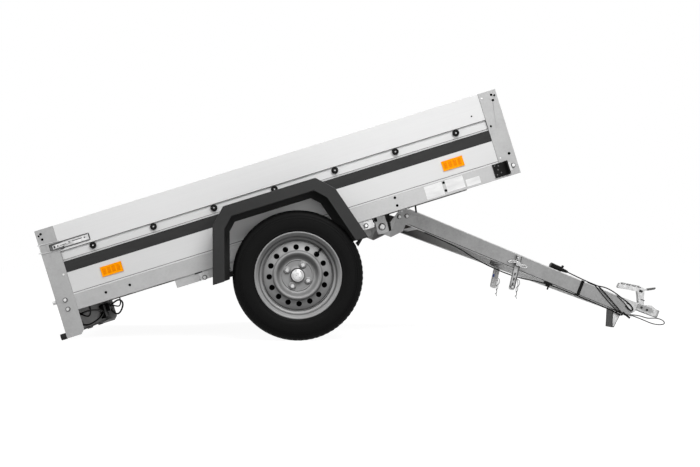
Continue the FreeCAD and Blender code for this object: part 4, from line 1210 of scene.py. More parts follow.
@dataclass
class SideFittings(SidePart):
    """What is fixed to one side of the bed."""

    face: float = 560.0
    post: float = 563.0
    bar: float = 552.0
    rear: float = -1025.0
    button_first: float = -800.0
    button_pitch: float = 273.3
    button_height: float = 382.0
    button_count: int = 7
    wall_rear: float = -942.5
    wall_front: float = 978.5
    film: float = 0.25

    def build(self) -> None:
        """Makes the side's pieces in order."""
        self.seams()
        self.stripe()
        self.labels()
        self.reflectors()
        self.buttons()
        self.latch()
        self.latch_lever()
        self.marker()
        self.under_rail()
        self.fasteners()

    def seams(self) -> None:
        """Makes the shadow gaps: over the rail, along the sheets' folds and beside the posts."""
        folds = ((209.6, 212.0, 560.0), (396.6, 398.8, 560.0), (357.6, 359.2, 559.0))
        gaps = [
            (oblong(self.wall_rear, low, self.wall_front, high), depth - 1, depth + 0.2)
            for low, high, depth in folds
        ]
        ends = ((-943.6, -942.4), (978.4, 979.4))
        gaps += [(oblong(rear, 214, front, 513), self.face - 1, self.face + 0.3) for rear, front in ends]
        self._plates(self._name("wall_seams"), on_bed(Finishes.SEAM, Slot.LOWER), gaps)

    def stripe(self) -> None:
        """Makes the dark stripe on the lower sheet."""
        film = (oblong(self.wall_rear, 302.5, self.wall_front, 351.6), self.face, self.face + self.film)
        self._plates(self._name("stripe"), on_bed(Finishes.STRIPE, Slot.PLASTIC), [film])

    def labels(self) -> None:
        """Makes the blank labels, which only the right rail has."""
        if self.side is Side.RIGHT:
            spots = ((638, 142.5, 718, 200.5), (732, 147, 812, 200), (820, 145, 882, 176))
            films = [(oblong(*spot, 2), self.face, self.face + self.film) for spot in spots]
            self._plates("blank_labels", on_bed(Finishes.LABEL, Slot.CLEAR), films)

    def reflectors(self) -> None:
        """Makes the amber reflectors: a rim round rows of upright ribs."""
        frames: list[Plate] = []
        prisms: list[Plate] = []
        face = self.face
        for centre in (-753, 788):
            x0, x1, z0, z1 = centre - 47, centre + 47, 238.5, 281.5
            frames.append((oblong(x0, z0, x1, z1, 3), face, face + 4))
            rims = ((x0, z0, x1, z0 + 3), (x0, z1 - 3, x1, z1), (x0, z0, x0 + 3, z1), (x1 - 3, z0, x1, z1))
            frames += [(oblong(*rim), face + 3, face + 6) for rim in rims]
            for n in range(12):
                at = x0 + 7 + n // 3 * 20.8 + n % 3 * 5.2
                prisms.append((oblong(at, z0 + 8, at + 4.6, z1 - 7, 1.6), face + 3, face + 5.4))
        seat = on_bed(Finishes.AMBER, Slot.AMBER)
        self._plates(self._name("reflector_frames"), seat, frames, 0.5, ["side_reflectors"])
        self._plates(self._name("reflector_prisms"), on_bed(Finishes.DEEP, Slot.AMBER), prisms, 0.5)

    def buttons(self) -> None:
        """Makes the rope buttons: a necked plastic mushroom with a bright screw in its middle."""
        heads, screws = Mould(), Mould()
        head = [
            (0, 0), (10.5, 0), (10, 1.5), (8.6, 4.6), (9.4, 6.4), (14.4, 7.6),
            (15, 9.2), (14.6, 12), (12.6, 14), (7.4, 14.8), (5.4, 12.2), (0, 12),
        ]
        screw = [(0, 11.6), (3.6, 11.6), (3.4, 12.8), (2.4, 13.4), (1.4, 13.0), (0, 12.8)]
        for n in range(self.button_count):
            spot = (self.button_first + self.button_pitch * n, self._out(self.face - 8), self.button_height)
            heads.lathe(head, spot, 32, self._aim)
            screws.lathe(screw, spot, 16, self._aim)
        seat = on_bed(Finishes.BLACK, Slot.PLASTIC)
        heads.piece(self._name("button_heads"), seat, replaces=["rope_buttons"])
        screws.piece(self._name("button_screws"), on_bed(Finishes.BRIGHT, Slot.BRIGHT))

    def latch(self) -> None:
        """Makes the tailgate latch's body: a channel base on the sheet and a shorter one on the post, a dark
        film round each as a painted shadow, and flanges in a darker plating as a painted reflection.
        """
        face, post = self.face, self.post
        # Painted shadow: dark films a little larger than the bases, behind them.
        shades = [
            (oblong(-941, 408.4, -802.4, 440.6, 4), face, face + 0.6),
            (oblong(-983, 406, -921, 439, 4), post, post + 0.4),
        ]
        self._plates(self._name("latch_seat"), on_bed(Finishes.SLOT, Slot.BRIGHT), shades)
        base = (oblong(-938, 411, -805, 438, 4), face + 0.4, face + 2.4)
        seat = on_bed(Finishes.PALE, Slot.BRIGHT)
        self._plates(self._name("latch_base"), seat, [base], 0.5, ["tailgate_latches"])
        # Painted reflection: the flanges take the darker dull plating, standing in for the darker
        # surroundings they mirror.
        flanges = [(oblong(-938, low, -808, low + 2.2), face, face + 6.4) for low in (410.2, 436.2)]
        flanges.append((oblong(-806.8, 414, -804.6, 435), face, face + 5))
        flanges.append((oblong(-980, 408.5, -924, 436.5, 3), post + 0.5, post + 2.4))
        flanges += [(oblong(-979, low, -926, low + 2), post + 2, post + 8.6) for low in (409, 433.8)]
        self._plates(self._name("latch_flanges"), on_bed(Finishes.HUB, Slot.BRIGHT), flanges, 0.4)

    def latch_lever(self) -> None:
        """Makes the latch's lever, its wire bail, the slots and the pins."""
        face, post = self.face, self.post
        bright = on_bed(Finishes.PALE, Slot.BRIGHT)
        outline = [(-968, 414), (-930, 416), (-888, 422), (-888, 431), (-930, 434), (-968, 431)]
        lever = [(outline, post + 2.2, post + 5), (oblong(-952, 419, -938, 428, 3), post + 4, post + 8)]
        self._plates(self._name("latch_lever"), bright, lever, 0.5)
        bails = {
            "long": [(-934, 443), (-1020, 450), (-1020, 450), (-1025, 411), (-1025, 411), (-936, 406)],
            "high": [(-1016, 447), (-1030, 450)],
            "low": [(-1020, 414), (-1034, 415)],
        }
        for name, path in bails.items():
            points = [(x, self._out(post + 2.4), z) for x, z in path]
            rope(self._name(f"latch_bail_{name}"), points, 1.8, bright)
        slots = [
            (oblong(-882, 425.4, -836, 428.6, 1), face + 2.4, face + 2.8),
            (oblong(-964, 417, -956, 428, 2), post + 5, post + 5.3),
            (oblong(-934, 421, -906, 424, 1.4), post + 5, post + 5.3),
        ]
        self._plates(self._name("latch_slots"), on_bed(Finishes.SLOT, Slot.BRIGHT), slots)
        pins = Fasteners()
        spots = [
            (-972, post + 2.4, 429), (-972, post + 2.4, 416), (-945, post + 8, 423.5),
            (-893, post + 5, 427), (-825, face + 2.2, 426),
        ]
        for spot in self._points(spots):
            pins.rivet(spot, self._aim, 3.6)
        pins.mould.piece(self._name("latch_pins"), on_bed(Finishes.HUB, Slot.BRIGHT))

    def marker(self) -> None:
        """Makes the rivets behind the front marker."""
        heads = Fasteners()
        for x, z in ((956, 196), (972, 192), (966, 176), (957, 156), (976, 160)):
            heads.rivet((x, self._out(self.post + 3.2), z), self._aim, 3.2)
        heads.mould.piece(self._name("marker_rivets"), on_bed(Finishes.HUB, Slot.PLASTIC))

    def under_rail(self) -> None:
        """Makes the square bolt plates on the bar under the rail, and the dark pads beside them."""
        plates = [(oblong(x - 21, 98, x + 21, 132, 2), self.bar, self.bar + 2.4) for x in (-380, 365)]
        self._plates(self._name("bar_plates"), on_bed(Finishes.BRIGHT, Slot.BRIGHT), plates, 0.5)
        pads = [(oblong(-418, 131, -384, 136, 1), self.bar - 2, self.bar + 3)]
        pads += [(oblong(x - 6, 117, x + 5, 136, 2), 340, 348) for x in (398, 413, 428)]
        self._plates(self._name("bar_gaps"), on_bed(Finishes.BLACK, Slot.PLASTIC), pads, 0.5)

    def fasteners(self) -> None:
        """Makes bolt heads, rivets, and dark discs as painted shade in the open holes on rail, posts and bar.
        """
        heads, holes = Fasteners(), Fasteners()
        rail, post, bar = self._out(self.face), self._out(self.post), self._out(self.bar)
        for x, z in ((-984, 191.5), (-984, 150.5), (1034, 175.5)):
            heads.hexagon((x, post, z), self._aim, 14, 8, 11)
        for x, z in ((-380, 107), (352, 114)):
            heads.hexagon((x, self._out(self.bar + 2), z), self._aim)
        heads.hexagon((-271, bar, 109.5), self._aim)
        heads.hexagon((self.rear - 0.2, self._out(547), 193), Vector((-1, 0, 0)), 17, 14, 13)
        for x, z in ((-959, 298.5), (991, 490), (991, 221)):
            heads.rivet((x, post, z), self._aim, 4.6)
        for x, z in ((-807, 171.5), (-699, 171.5), (506, 192.5), (506, 157.5), (726, 192.5), (726, 157.5)):
            holes.hole((x, rail, z), self._aim, 6.0)
        for x, z, radius in ((-1012.5, 488, 4.4), (1046, 488, 4.6), (1033, 230, 6.2), (993, 364.5, 5)):
            holes.hole((x, post, z), self._aim, radius)
        for x in (1034, -1002):
            for z in (470, 494):
                holes.hole((x, post, z), self._aim, 5.6)
        holes.hole((-399, bar, 104.5), self._aim, 5)
        holes.hole((926, rail, 430.5), self._aim, 3.6)
        heads.piece(self._name("bed_bolts"), on_bed(Finishes.PALE, Slot.BRIGHT))
        holes.mould.piece(self._name("bed_holes"), on_bed(Finishes.VOID, Slot.PLASTIC))


@dataclass
class TailFittings(SidePart):
    """One side's rear lamp, and what hangs below that side of the bed."""

    board: float = -999.0
    lamp_in: float = 325.0
    lamp_out: float = 515.0
    lamp_deep: float = 20.0
    ribs: int = 6
    rib_step: float = 10.4

    def build(self) -> None:
        """Makes the side's pieces in order."""
        self.stays()
        self.lamp()
        self.back()
        self.cables()

    def stays(self) -> None:
        """Makes a black strip on the pivot bracket, a stay in the fender's foot and the rail's cable end."""
        edge = ([(483, 137), (494, 137), (482, 59), (471, 59)], 333.4, 338.4)
        self._plates(self._name("bracket_edging"), on_bed(Finishes.BLACK, Slot.RUBBER), [edge], 1)
        stay = ([(281, 57), (288, 39), (315, 64), (304, 69)], 598, 606)
        self._plates(self._name("fender_stay"), on_bed(Finishes.BLACK, Slot.PLASTIC), [stay], 1)
        end = self._points([(603, 430, 138.8), (602, 430, 128), (599, 430, 114), (598, 430, 104)])
        rope(self._name("rail_cable"), end, 4, on_bed(Finishes.BLACK, Slot.CABLE))

    def lamp(self) -> None:
        """Makes a rear lamp: black housing with red, amber and clear fields, each ribbed."""
        face = self.board - self.lamp_deep
        low, high = self._span(self.lamp_in, self.lamp_out)
        housing = Mould().prism(oblong(low, 51, high, 127, 8), face + 5, self.board, Plane.YZ)
        seat = on_bed(Finishes.BLACK, Slot.PLASTIC)
        housing.piece(self._name("lamp_housing"), seat, 1, ["rear_lamps"])
        fields = (
            ("stop_lens", Finishes.RED, Slot.RED, 4, 64),
            ("turn_lens", Finishes.AMBER, Slot.AMBER, 67, 127),
            ("rear_lens", Finishes.CLEAR, Slot.CLEAR, 130, 186),
        )
        for name, finish, slot, start, stop in fields:
            near, far = self._span(self.lamp_in + start, self.lamp_in + stop)
            lens = Mould().prism(oblong(near, 55, far, 123, 4), face + 1, face + 6, Plane.YZ)
            for n in range(self.ribs):
                height = 59 + n * self.rib_step
                rib = oblong(near + 3, height, far - 3, height + 8, 2)
                lens.prism(rib, face + 0.1, face + 2, Plane.YZ)
            lens.piece(self._name(name), on_bed(finish, slot), 0.6)

    def back(self) -> None:
        """Makes the lamp's back, with its plug and cover, on the board's front."""
        front = self.board + 2.2
        mould = Mould()
        blocks = ((450, 96, 120, 60, 22), (500, 108, 44, 44, 40), (380, 70, 30, 26, 26))
        for middle, height, width, tall, deep in blocks:
            low, high = self._span(middle - width / 2, middle + width / 2)
            outline = oblong(low, height - tall / 2, high, height + tall / 2, 6)
            mould.prism(outline, front, front + deep, Plane.YZ)
        mould.piece(self._name("lamp_back"), on_bed(Finishes.BLACK, Slot.PLASTIC), 1)

    def cables(self) -> None:
        """Makes the looped cable at the lamp's back and its tail up to the rail."""
        seat = on_bed(Finishes.BLACK, Slot.CABLE)
        loops = {
            Side.RIGHT: [
                (-975, 395, 112), (-948, 330, 120), (-925, 215, 112), (-902, 130, 98),
                (-912, 160, 78), (-930, 260, 62), (-955, 372, 54), (-972, 385, 66),
            ],
            Side.LEFT: [
                (-958, 505, 108), (-940, 530, 120), (-906, 538, 131), (-888, 538, 112),
                (-896, 538, 84), (-926, 536, 53), (-950, 528, 66), (-958, 515, 92),
            ],
        }
        rope(self._name("lamp_loop"), self._points(loops[self.side]), 4.6, seat)
        tail = [
            (-958, 490, 122), (-935, 515, 104), (-912, 528, 92),
            (-900, 532, 108), (-897, 530, 126), (-896, 528, 138.6),
        ]
        rope(self._name("lamp_tail"), self._points(tail), 3.6, seat)


@dataclass
class Vee:
    """The drawbar's two beams: half width at the pivot, slant, and the heights of foot and top."""

    root_half: float = 332.0
    taper: float = 0.2242
    low: float = 55.0
    top: float = 124.0

    def half(self, x: float, out: float = 0.0) -> float:
        """The V's half width at a distance ahead of the pivot, with an allowance outwards."""
        return self.root_half - self.taper * x + out


@dataclass
class Drawbar(Vee):
    """What only the right beam and the nose have: tape, tie, plug and cables."""

    tape_width: float = 12.0
    tape_reach: float = 38.0
    plug_at: float = 834.0
    plug_inset: float = 20.0
    plug_ribs: int = 5
    key_at: float = 894.0
    pins: int = 6
    pin_circle: float = 7.4
    clearance: float = 3.7

    def build(self) -> None:
        """Makes the pieces in order."""
        self.tape()
        self.tie_block()
        self.plug()
        self.cables()

    def _wrap(self, mould: Mould, x: float, proud: float) -> None:
        """Adds a turn of tape round the right beam's web and flanges.

        Args:
            mould: the mould to add to.
            x: where the turn starts.
            proud: its thickness.
        """
        end = x + self.tape_width
        near, far = -self.half(x, proud), -self.half(end, proud)
        reach = self.tape_reach
        for low in (self.low - proud, self.top):
            corners = [(x, near), (end, far), (end, far + reach), (x, near + reach)]
            mould.prism(corners, low, low + proud, Plane.XY)
        corners = [(x, near), (end, far), (end, far + proud), (x, near + proud)]
        mould.prism(corners, self.low - proud, self.top + proud, Plane.XY)

    def tape(self) -> None:
        """Makes the black tape round the right beam, in two overlapping turns."""
        mould = Mould()
        self._wrap(mould, 1003, 1.4)
        self._wrap(mould, 1007, 1.9)
        mould.piece("beam_tape", on_bar(Finishes.BLACK, Slot.CABLE), 0.3)

    def tie_block(self) -> None:
        """Makes the cable's tie under the right beam, with its tail hanging down."""
        y = -self.half(852) + 10
        mould = Mould().box((834, y - 11, 46), (872, y + 16, 54.8))
        mould.box((844, y - 6, 36), (864, y + 8, 47)).box((856, y - 3, 22), (863, y + 4, 38))
        mould.piece("cable_tie", on_bar(Finishes.BLACK, Slot.CABLE), 1.5)

    def plug(self) -> None:
        """Makes the seven-pole plug: collar, ribbed grip, stepped neck, key and pins."""
        black = on_bar(Finishes.BLACK, Slot.PLASTIC)
        outline = [(0, 0), (12.6, 0), (13, 1), (13, 7), (11.8, 8), (11.8, 10), (13, 11), (13, 17), (12, 18)]
        for n in range(self.plug_ribs):
            foot = 19 + n * 7
            outline += [(12.4, foot), (11.3, foot + 1.6), (11.3, foot + 3.6), (12.4, foot + 5.2)]
        outline += [
            (12, 55), (11, 60), (9, 63), (8.6, 66), (8.8, 72), (7.4, 74),
            (8.2, 79), (6.8, 81), (7.4, 86), (6, 88), (6, 94), (0, 94),
        ]
        ahead = Vector((1, self.taper, 0)).normalized()
        start = Vector((self.plug_at, -self.half(self.plug_at, -self.plug_inset), self.top + 13.3))
        mould = Mould().lathe(outline, start, 32, ahead)
        mould.piece("ribbed_plug", black, replaces=["plug"], sharp=40)
        x, y = self.key_at, -self.half(self.key_at, -self.plug_inset)
        key = Mould().box((x - 5, y - 4, self.top + 23), (x + 5, y + 4, self.top + 33.5))
        key.piece("plug_key", black, 1)
        pins = Mould()
        for n in range(self.pins):
            angle = math.tau * n / self.pins
            across = self.pin_circle * math.cos(angle), self.pin_circle * math.sin(angle)
            pins.lathe(disc(1.7, 0, 3), start + Vector((-2.2, *across)), 10, ahead)
        pins.piece("plug_pins", on_bar(Finishes.BRIGHT, Slot.BRIGHT))

    def _beside(self, points: Sequence[Point3]) -> list[Point3]:
        """Points at the right beam, from ones whose Y is how far outside its web they are."""
        return [(x, -self.half(x, out), z) for x, out, z in points]

    def cables(self) -> None:
        """Makes the wiring cable, the cords that run with it at the nose, and the safety wire."""
        over, under = self.top + self.clearance, self.low - self.clearance
        black = on_bar(Finishes.BLACK, Slot.CABLE)
        route = [
            (919.2, -20, 137.3), (1030, -18, over + 3), (1080, -8, over + 3), (1100, 6.7, 128),
            (1139, 7.2, 109), (1200, 7.4, 80), (1247, 7.4, 58), (1272, 3.7, under - 12),
            (1180, -12, under - 2), (1010, -20, under), (840, -22, under - 2), (690, -28, under - 32),
            (500, -26, under - 28), (360, -20, under), (200, -20, under),
        ]
        rope("run_cable", self._beside(route), 2.8, black, ["wiring_cable"])
        release = [
            (1040, -12, over - 0.6), (1068, -2, over - 0.2), (1084, 3.4, 124), (1104, 3.4, 113),
            (1132, 3, 98), (1200, 3, 66), (1240, 4, 52), (1252, 6, 52), (1262, 8, 54),
        ]
        rope("release_cord", self._beside(release), 2.0, black)
        upper = [
            (1086, -4, over + 1), (1112, -5, 134), (1138, -5, 137.5), (1172, -1, 134), (1200, 4, 127.5),
            (1224, 5, 121), (1260, 5.6, 113), (1286, 6, 104), (1302, 6.2, 93), (1303, 6, 82),
            (1287, 5.4, 81), (1263, 4.6, 91),
        ]
        rope("nose_cord", self._beside(upper), 2.8, black)
        sleeve = [(0, 0), (4.8, 0), (4.8, 40), (3.8, 43), (0, 43)]
        end = Mould().lathe(sleeve, self._beside([(1259, 9, 57)])[0], 16, Vector((0.95, 0, -0.3)))
        end.piece("cord_end", black)
        hook = [(1226, 46), (1233, 55), (1251, 56), (1261, 47), (1248, 37), (1235, 42), (1226, 50)]
        rope("cord_hook", self._beside([(x, 4, z) for x, z in hook]), 2.6, black)
        loop = [
            (1303, -37, 62), (1343, -35, 74), (1387, -34, 75), (1412, -34, 86), (1431, -34, 93),
            (1462, -24, 96), (1488, -6, 88), (1485, 14, 76), (1452, 30, 66), (1424, 33, 66),
            (1370, 33, 68), (1300, 31, 66),
        ]
        rope("safety_loop", loop, 2.7, on_bar(Finishes.WIRE, Slot.CABLE), ["safety_cable"])


@dataclass
class DrawbarSide(Vee, SidePart):
    """One beam's details: painted highlight and shade along its bends, its bolts, its lock strap with nut and
    clip, and its nose.
    """

    plate_face: float = 6.4
    strap_at: float = 670.0
    strap_pin: float = 81.0
    strap_lean: float = 8.6
    strap_face: float = 5.2

    def build(self) -> None:
        """Makes the side's pieces in order."""
        self.edge_lines()
        self.bolts()
        self.strap()
        self.strap_details()
        self.clip()
        self.nose()

    @property
    def _square(self) -> Vector:
        """Straight out of the beam's web."""
        return Vector((self.taper, self.side.value, 0)).normalized()

    def _at_web(self, x: float, out: float, z: float) -> Point3:
        """A point some way outside the beam's web."""
        return x, self._out(self.half(x, out)), z

    def _plate(self, mould: Mould, outline: Sequence[Point2], inner: float, outer: float) -> None:
        """Adds a plate along the beam's slanting web, by how far outside it the two faces are."""
        points = [Vector(self._at_web(x, out, z)) for out in (inner, outer) for x, z in outline]
        mould.add(points, prism_faces(len(outline)))

    def edge_lines(self) -> None:
        """Makes a pale strip along the beam's top bend, a painted highlight, and a dark strip along its foot,
        a painted shade.
        """
        bright = (oblong(62, 120.4, 1196, 124.3), -0.5, 0.5)
        self._plates(self._name("beam_bend"), on_bar(Finishes.PALE, Slot.BRIGHT), [bright])
        dark = (oblong(62, 54.9, 1312, 57.6), -0.5, 0.4)
        self._plates(self._name("beam_foot"), on_bar(Finishes.SLOT, Slot.ZINC), [dark])

    def bolts(self) -> None:
        """Makes the bolts and the rivet in the hinge plate."""
        heads = Fasteners()
        for x, z in ((89, 88), (58, 72)):
            heads.hexagon(self._at_web(x, self.plate_face, z), self._square, 15, 6, 11)
        heads.rivet(self._at_web(58, self.plate_face, 102), self._square, 6)
        heads.piece(self._name("drawbar_bolts"), on_bar(Finishes.PALE, Slot.BRIGHT))

    def _leaning(self, outline: Sequence[Point2]) -> list[Point2]:
        """Turns a strap's own outline to the strap's lean.

        Args:
            outline: points across and along the strap, from its pin.

        Returns:
            The same points as X and Z in the drawbar's frame.
        """
        lean = math.radians(self.strap_lean)
        sine, cosine = math.sin(lean), math.cos(lean)
        x, z = self.strap_at, self.strap_pin
        return [(x + u * cosine - w * sine, z + u * sine + w * cosine) for u, w in outline]

    def strap(self) -> None:
        """Makes the lock strap: a rounded plate with raised edges, and the slots in it."""
        face = self.strap_face
        plate = self._leaning(rounded([(-14, -126), (14, -126), (14, 40), (-14, 40)], 9))
        seat = on_bar(Finishes.BRIGHT, Slot.BRIGHT)
        self._plates(self._name("strap"), seat, [(plate, 0.4, face)], 0.6, ["lock_straps"])
        edges = [(self._leaning(oblong(low, -116, low + 2.4, 36)), 5, 11) for low in (-14, 11.6)]
        self._plates(self._name("strap_edges"), on_bar(Finishes.HUB, Slot.BRIGHT), edges, 0.5)
        holes = [self._leaning(oblong(-3.4, low, 3.4, low + 14, 3)) for low in (-58, -82, -106)]
        slots = [(hole, face, face + 0.4) for hole in holes]
        self._plates(self._name("strap_slots"), on_bar(Finishes.SLOT, Slot.BRIGHT), slots)

    def strap_details(self) -> None:
        """Makes the strap's bolts, its winged nut and, on the left, its painted mark."""
        boss = Fasteners()
        spots = ((0, 0, 22, 9, 16), (0, -112, 12, 4, 9), (-6, 27, 9, 4, 7))
        for u, w, flats, height, washer in spots:
            x, z = self._leaning([(u, w)])[0]
            boss.hexagon(self._at_web(x, self.strap_face, z), self._square, flats, height, washer)
        boss.piece(self._name("strap_bolts"), on_bar(Finishes.PALE, Slot.BRIGHT))
        y = self._out(self.half(self.strap_at, 17))
        wing = [
            (668, 84), (682, 76), (694, 84), (706, 86), (716, 80), (706, 73), (692, 71), (676, 74),
            (660, 84), (646, 79), (632, 73), (623, 72), (630, 80), (648, 90), (662, 88),
        ]
        rope(self._name("strap_wing"), [(x, y, z) for x, z in wing], 2.6, on_bar(Finishes.PALE, Slot.BRIGHT))
        if self.side is Side.LEFT:
            dot = (self._leaning(oblong(-13.6, -70, -5, -56, 2)), -0.4, 0.4)
            self._plates("strap_mark", on_bar(Finishes.MARK, Slot.PLASTIC), [dot])

    def clip(self) -> None:
        """Makes the spring clip that hangs from the strap's foot."""
        y = self._out(self.half(700, 16))
        bends = {
            "clip_back": [
                (686, 6), (698, 14), (708, 8), (714, -6), (709, -22),
                (716, -34), (712, -44), (719, -56), (716, -66), (725, -74),
            ],
            "clip_leg": [(713, -68), (720, -56), (710, -44), (704, -28), (709, -14), (702, 0), (696, 10)],
        }
        for name, bend in bends.items():
            rope(self._name(name), [(x, y, z) for x, z in bend], 1.4, on_bar(Finishes.HUB, Slot.BRIGHT))

    def nose(self) -> None:
        """Makes the coupling's flank over the beam's nose, a pale sheet on the foot's gusset as a painted
        highlight, and the pivot bolt.
        """
        pale = on_bar(Finishes.PALE, Slot.BRIGHT)
        flank = [(1200, 124.4), (1246, 108), (1284, 88), (1304, 78), (1318, 80), (1318, 124.4)]
        self._plates(self._name("nose_flank"), pale, [(flank, 0.2, 2.2)], 0.5)
        ribs = [
            ([(1204, 121.6), (1248, 106), (1247, 103), (1203, 118.6)], 0.2, 3.2),
            ([(1250, 104), (1302, 78), (1301, 75), (1249, 101)], 0.2, 3.2),
            (oblong(1262, 103, 1286, 108, 2), 2.2, 2.6),
        ]
        self._plates(self._name("nose_ribs"), on_bar(Finishes.SLOT, Slot.BRIGHT), ribs, 0.3)
        # Painted highlight: a thin pale sheet on the foot's side plate, which is lit while the rest of the
        # foot is dark.
        gusset = Mould().prism([(1217, 53), (1255, 53), (1248, -20), (1241, -20)], *self._span(43, 43.8))
        gusset.piece(self._name("foot_gusset"), pale, 0.2)
        bolt = Fasteners()
        bolt.hexagon((0, self._out(339.2), 0), self._aim, 22, 10, 17)
        bolt.piece(self._name("pivot_bolt"), Seat(BAR, "bed", Finishes.PALE, Slot.BRIGHT))


@dataclass
class CouplingSide(SidePart):
    """One side of the ball coupling: its pressed field with bolts, and the dark marks along the handle,
    partly painted shadow.
    """

    half: float = 30.0
    grip_half: float = 13.0
    proud: float = 0.5
    rim_proud: float = 1.2

    def build(self) -> None:
        """Makes the side's pieces in order."""
        self.pressing()
        self.grip()

    def pressing(self) -> None:
        """Makes the dull pressed field on the coupling's side, its bright rim and its bolts."""
        outline = [(1318, 102), (1392, 103), (1406, 111), (1405, 122), (1390, 129), (1320, 129)]
        dull = (rounded(outline, 6), self.half, self.half + self.proud)
        self._plates(self._name("coupling_field"), on_bar(Finishes.POST, Slot.ZINC), [dull])
        rim: list[Plate] = []
        for start, stop in zip(map(Vector, outline), map(Vector, outline[1:] + outline[:1])):
            run = (stop - start).normalized() * self.rim_proud
            across = Vector((-run.y, run.x))
            strip = [start - run - across, stop + run - across, stop + run + across, start - run + across]
            rim.append(([(p.x, p.y) for p in strip], self.half, self.half + self.rim_proud))
        self._plates(self._name("coupling_rim"), on_bar(Finishes.PALE, Slot.BRIGHT), rim)
        heads = Fasteners()
        for x, z in ((1344, 115), (1373, 113)):
            heads.hexagon((x, self._out(self.half + 0.4), z), self._aim, 8, 2.4, 6)
        heads.piece(self._name("coupling_bolts"), on_bar(Finishes.SLOT, Slot.BRIGHT))

    def grip(self) -> None:
        """Makes four dark films along the handle's side, a painted shadow under the grip's rolled top edge,
        and two dark marks across its neck.
        """
        outlines = []
        for n in range(4):
            x, z = 1216 + n * 26, 187.5 + n * 4.4
            outlines.append(rounded([(x, z), (x + 20, z + 3.4), (x + 19.4, z + 6.4), (x - 0.6, z + 3)], 1.2))
        outlines += [oblong(1311, 183, 1328, 195, 2), oblong(1333, 150, 1354, 154, 1.6)]
        # Painted shadow: the four films along the side stand for the shadow under the grip's rolled top edge.
        slots = [(outline, self.grip_half, self.grip_half + self.proud) for outline in outlines]
        self._plates(self._name("handle_slots"), on_bar(Finishes.SLOT, Slot.BRIGHT), slots)


@dataclass
class Coupling:
    """What lies across the coupling's handle."""

    ribs: int = 7
    rib_step: float = 13.0
    rib_half: float = 12.6

    def build(self) -> None:
        """Makes the handle's pieces in order."""
        self.grip_ribs()
        self.trigger()

    def grip_ribs(self) -> None:
        """Makes the ribs across the handle's top."""
        mould = Mould()
        for n in range(self.ribs):
            x, z = 1222 + n * self.rib_step, 194 + n * 2.2
            rib = rounded([(x, z), (x + 7, z + 1.2), (x + 6, z + 4), (x - 1, z + 2.8)], 1)
            mould.prism(rib, -self.rib_half, self.rib_half)
        mould.piece("grip_ribs", on_bar(Finishes.BRIGHT, Slot.BRIGHT), 0.5)

    def trigger(self) -> None:
        """Makes the trigger's rounded tongue."""
        outline = rounded([(1350, 203), (1381, 221), (1385, 229), (1379, 231), (1346, 213)], 4)
        mould = Mould().prism(outline, -8, 8)
        mould.piece("trigger_tongue", on_bar(Finishes.HUB, Slot.BRIGHT), 1)


@dataclass
class Dressing:
    """Finishes and softened edges for the nodes that stay as they are."""

    finishes: tuple[tuple[Finish, float, str], ...] = (
        (Finishes.PLY, 0.5, "floor_panel"),
        (Finishes.RAIL, 1.2, "side_rails"),
        (Finishes.UNDER, 1.0, "end_cross_members pivot_cross_member floor_cross_members"),
        (Finishes.LOWER, 0.6, "side_panels_lower"),
        (Finishes.UPPER, 0.6, "side_panels_upper front_panels tailgate_panels"),
        (Finishes.POST, 0.8, "front_posts rear_posts"),
        (Finishes.BOARD, 0.6, "rear_lamp_board"),
        (Finishes.BLACK, 1.2, "plate_lamp"),
        (Finishes.STUB, 1.5, "rubber_stubs"),
        (Finishes.BLACK, 0.6, "front_markers"),
        (Finishes.CLEAR, 1.5, "marker_lenses"),
        (Finishes.FENDER, 8.0, "fender_right fender_left"),
        (Finishes.RAIL, 1.0, "under_rails"),
        (Finishes.UNDER, 0.0, "axle_beam"),
        (Finishes.UNDER, 2.0, "swing_arms"),
        (Finishes.BRACKET, 0.8, "pivot_brackets"),
        (Finishes.BRIGHT, 0.6, "tailgate_hinge_ears tailgate_hinge_leaves"),
        (Finishes.BEAM_RIGHT, 5.0, "drawbar_beam_right"),
        (Finishes.BEAM_LEFT, 5.0, "drawbar_beam_left"),
        (Finishes.BEAM, 1.0, "drawbar_hinge_plates"),
        (Finishes.UNDER, 0.8, "drawbar_cross_braces"),
        (Finishes.FOOT, 1.0, "parking_foot"),
        (Finishes.PALE, 1.6, "coupling_housing"),
        (Finishes.PALE, 2.0, "coupling_handle"),
    )

    def build(self) -> None:
        """Gives each node its finish and rounded edges."""
        for finish, width, names in self.finishes:
            for name in names.split():
                node = frame["nodes"][name]
                node.data.materials.clear()
                node.data.materials.append(finish.material())
                if width:
                    soften(node, width, weld=True)
                log.info("%s dressed in %s", name, finish.name)


@dataclass(frozen=True)
class Lamp:
    """A square soft lamp that faces the trailer: place and side in metres, power in watts."""

    name: str
    spot: Point3
    size: float
    power: float
    AIM = (0.0, 0.0, 0.5)

    def light(self) -> None:
        """Sets the lamp up."""
        light = bpy.data.lights.new(self.name, "AREA")
        light.shape = "SQUARE"
        light.size = self.size
        light.energy = self.power
        made = show(self.name, light)
        made.location = self.spot
        made.rotation_euler = (Vector(self.AIM) - Vector(self.spot)).to_track_quat("-Z", "Y").to_euler()


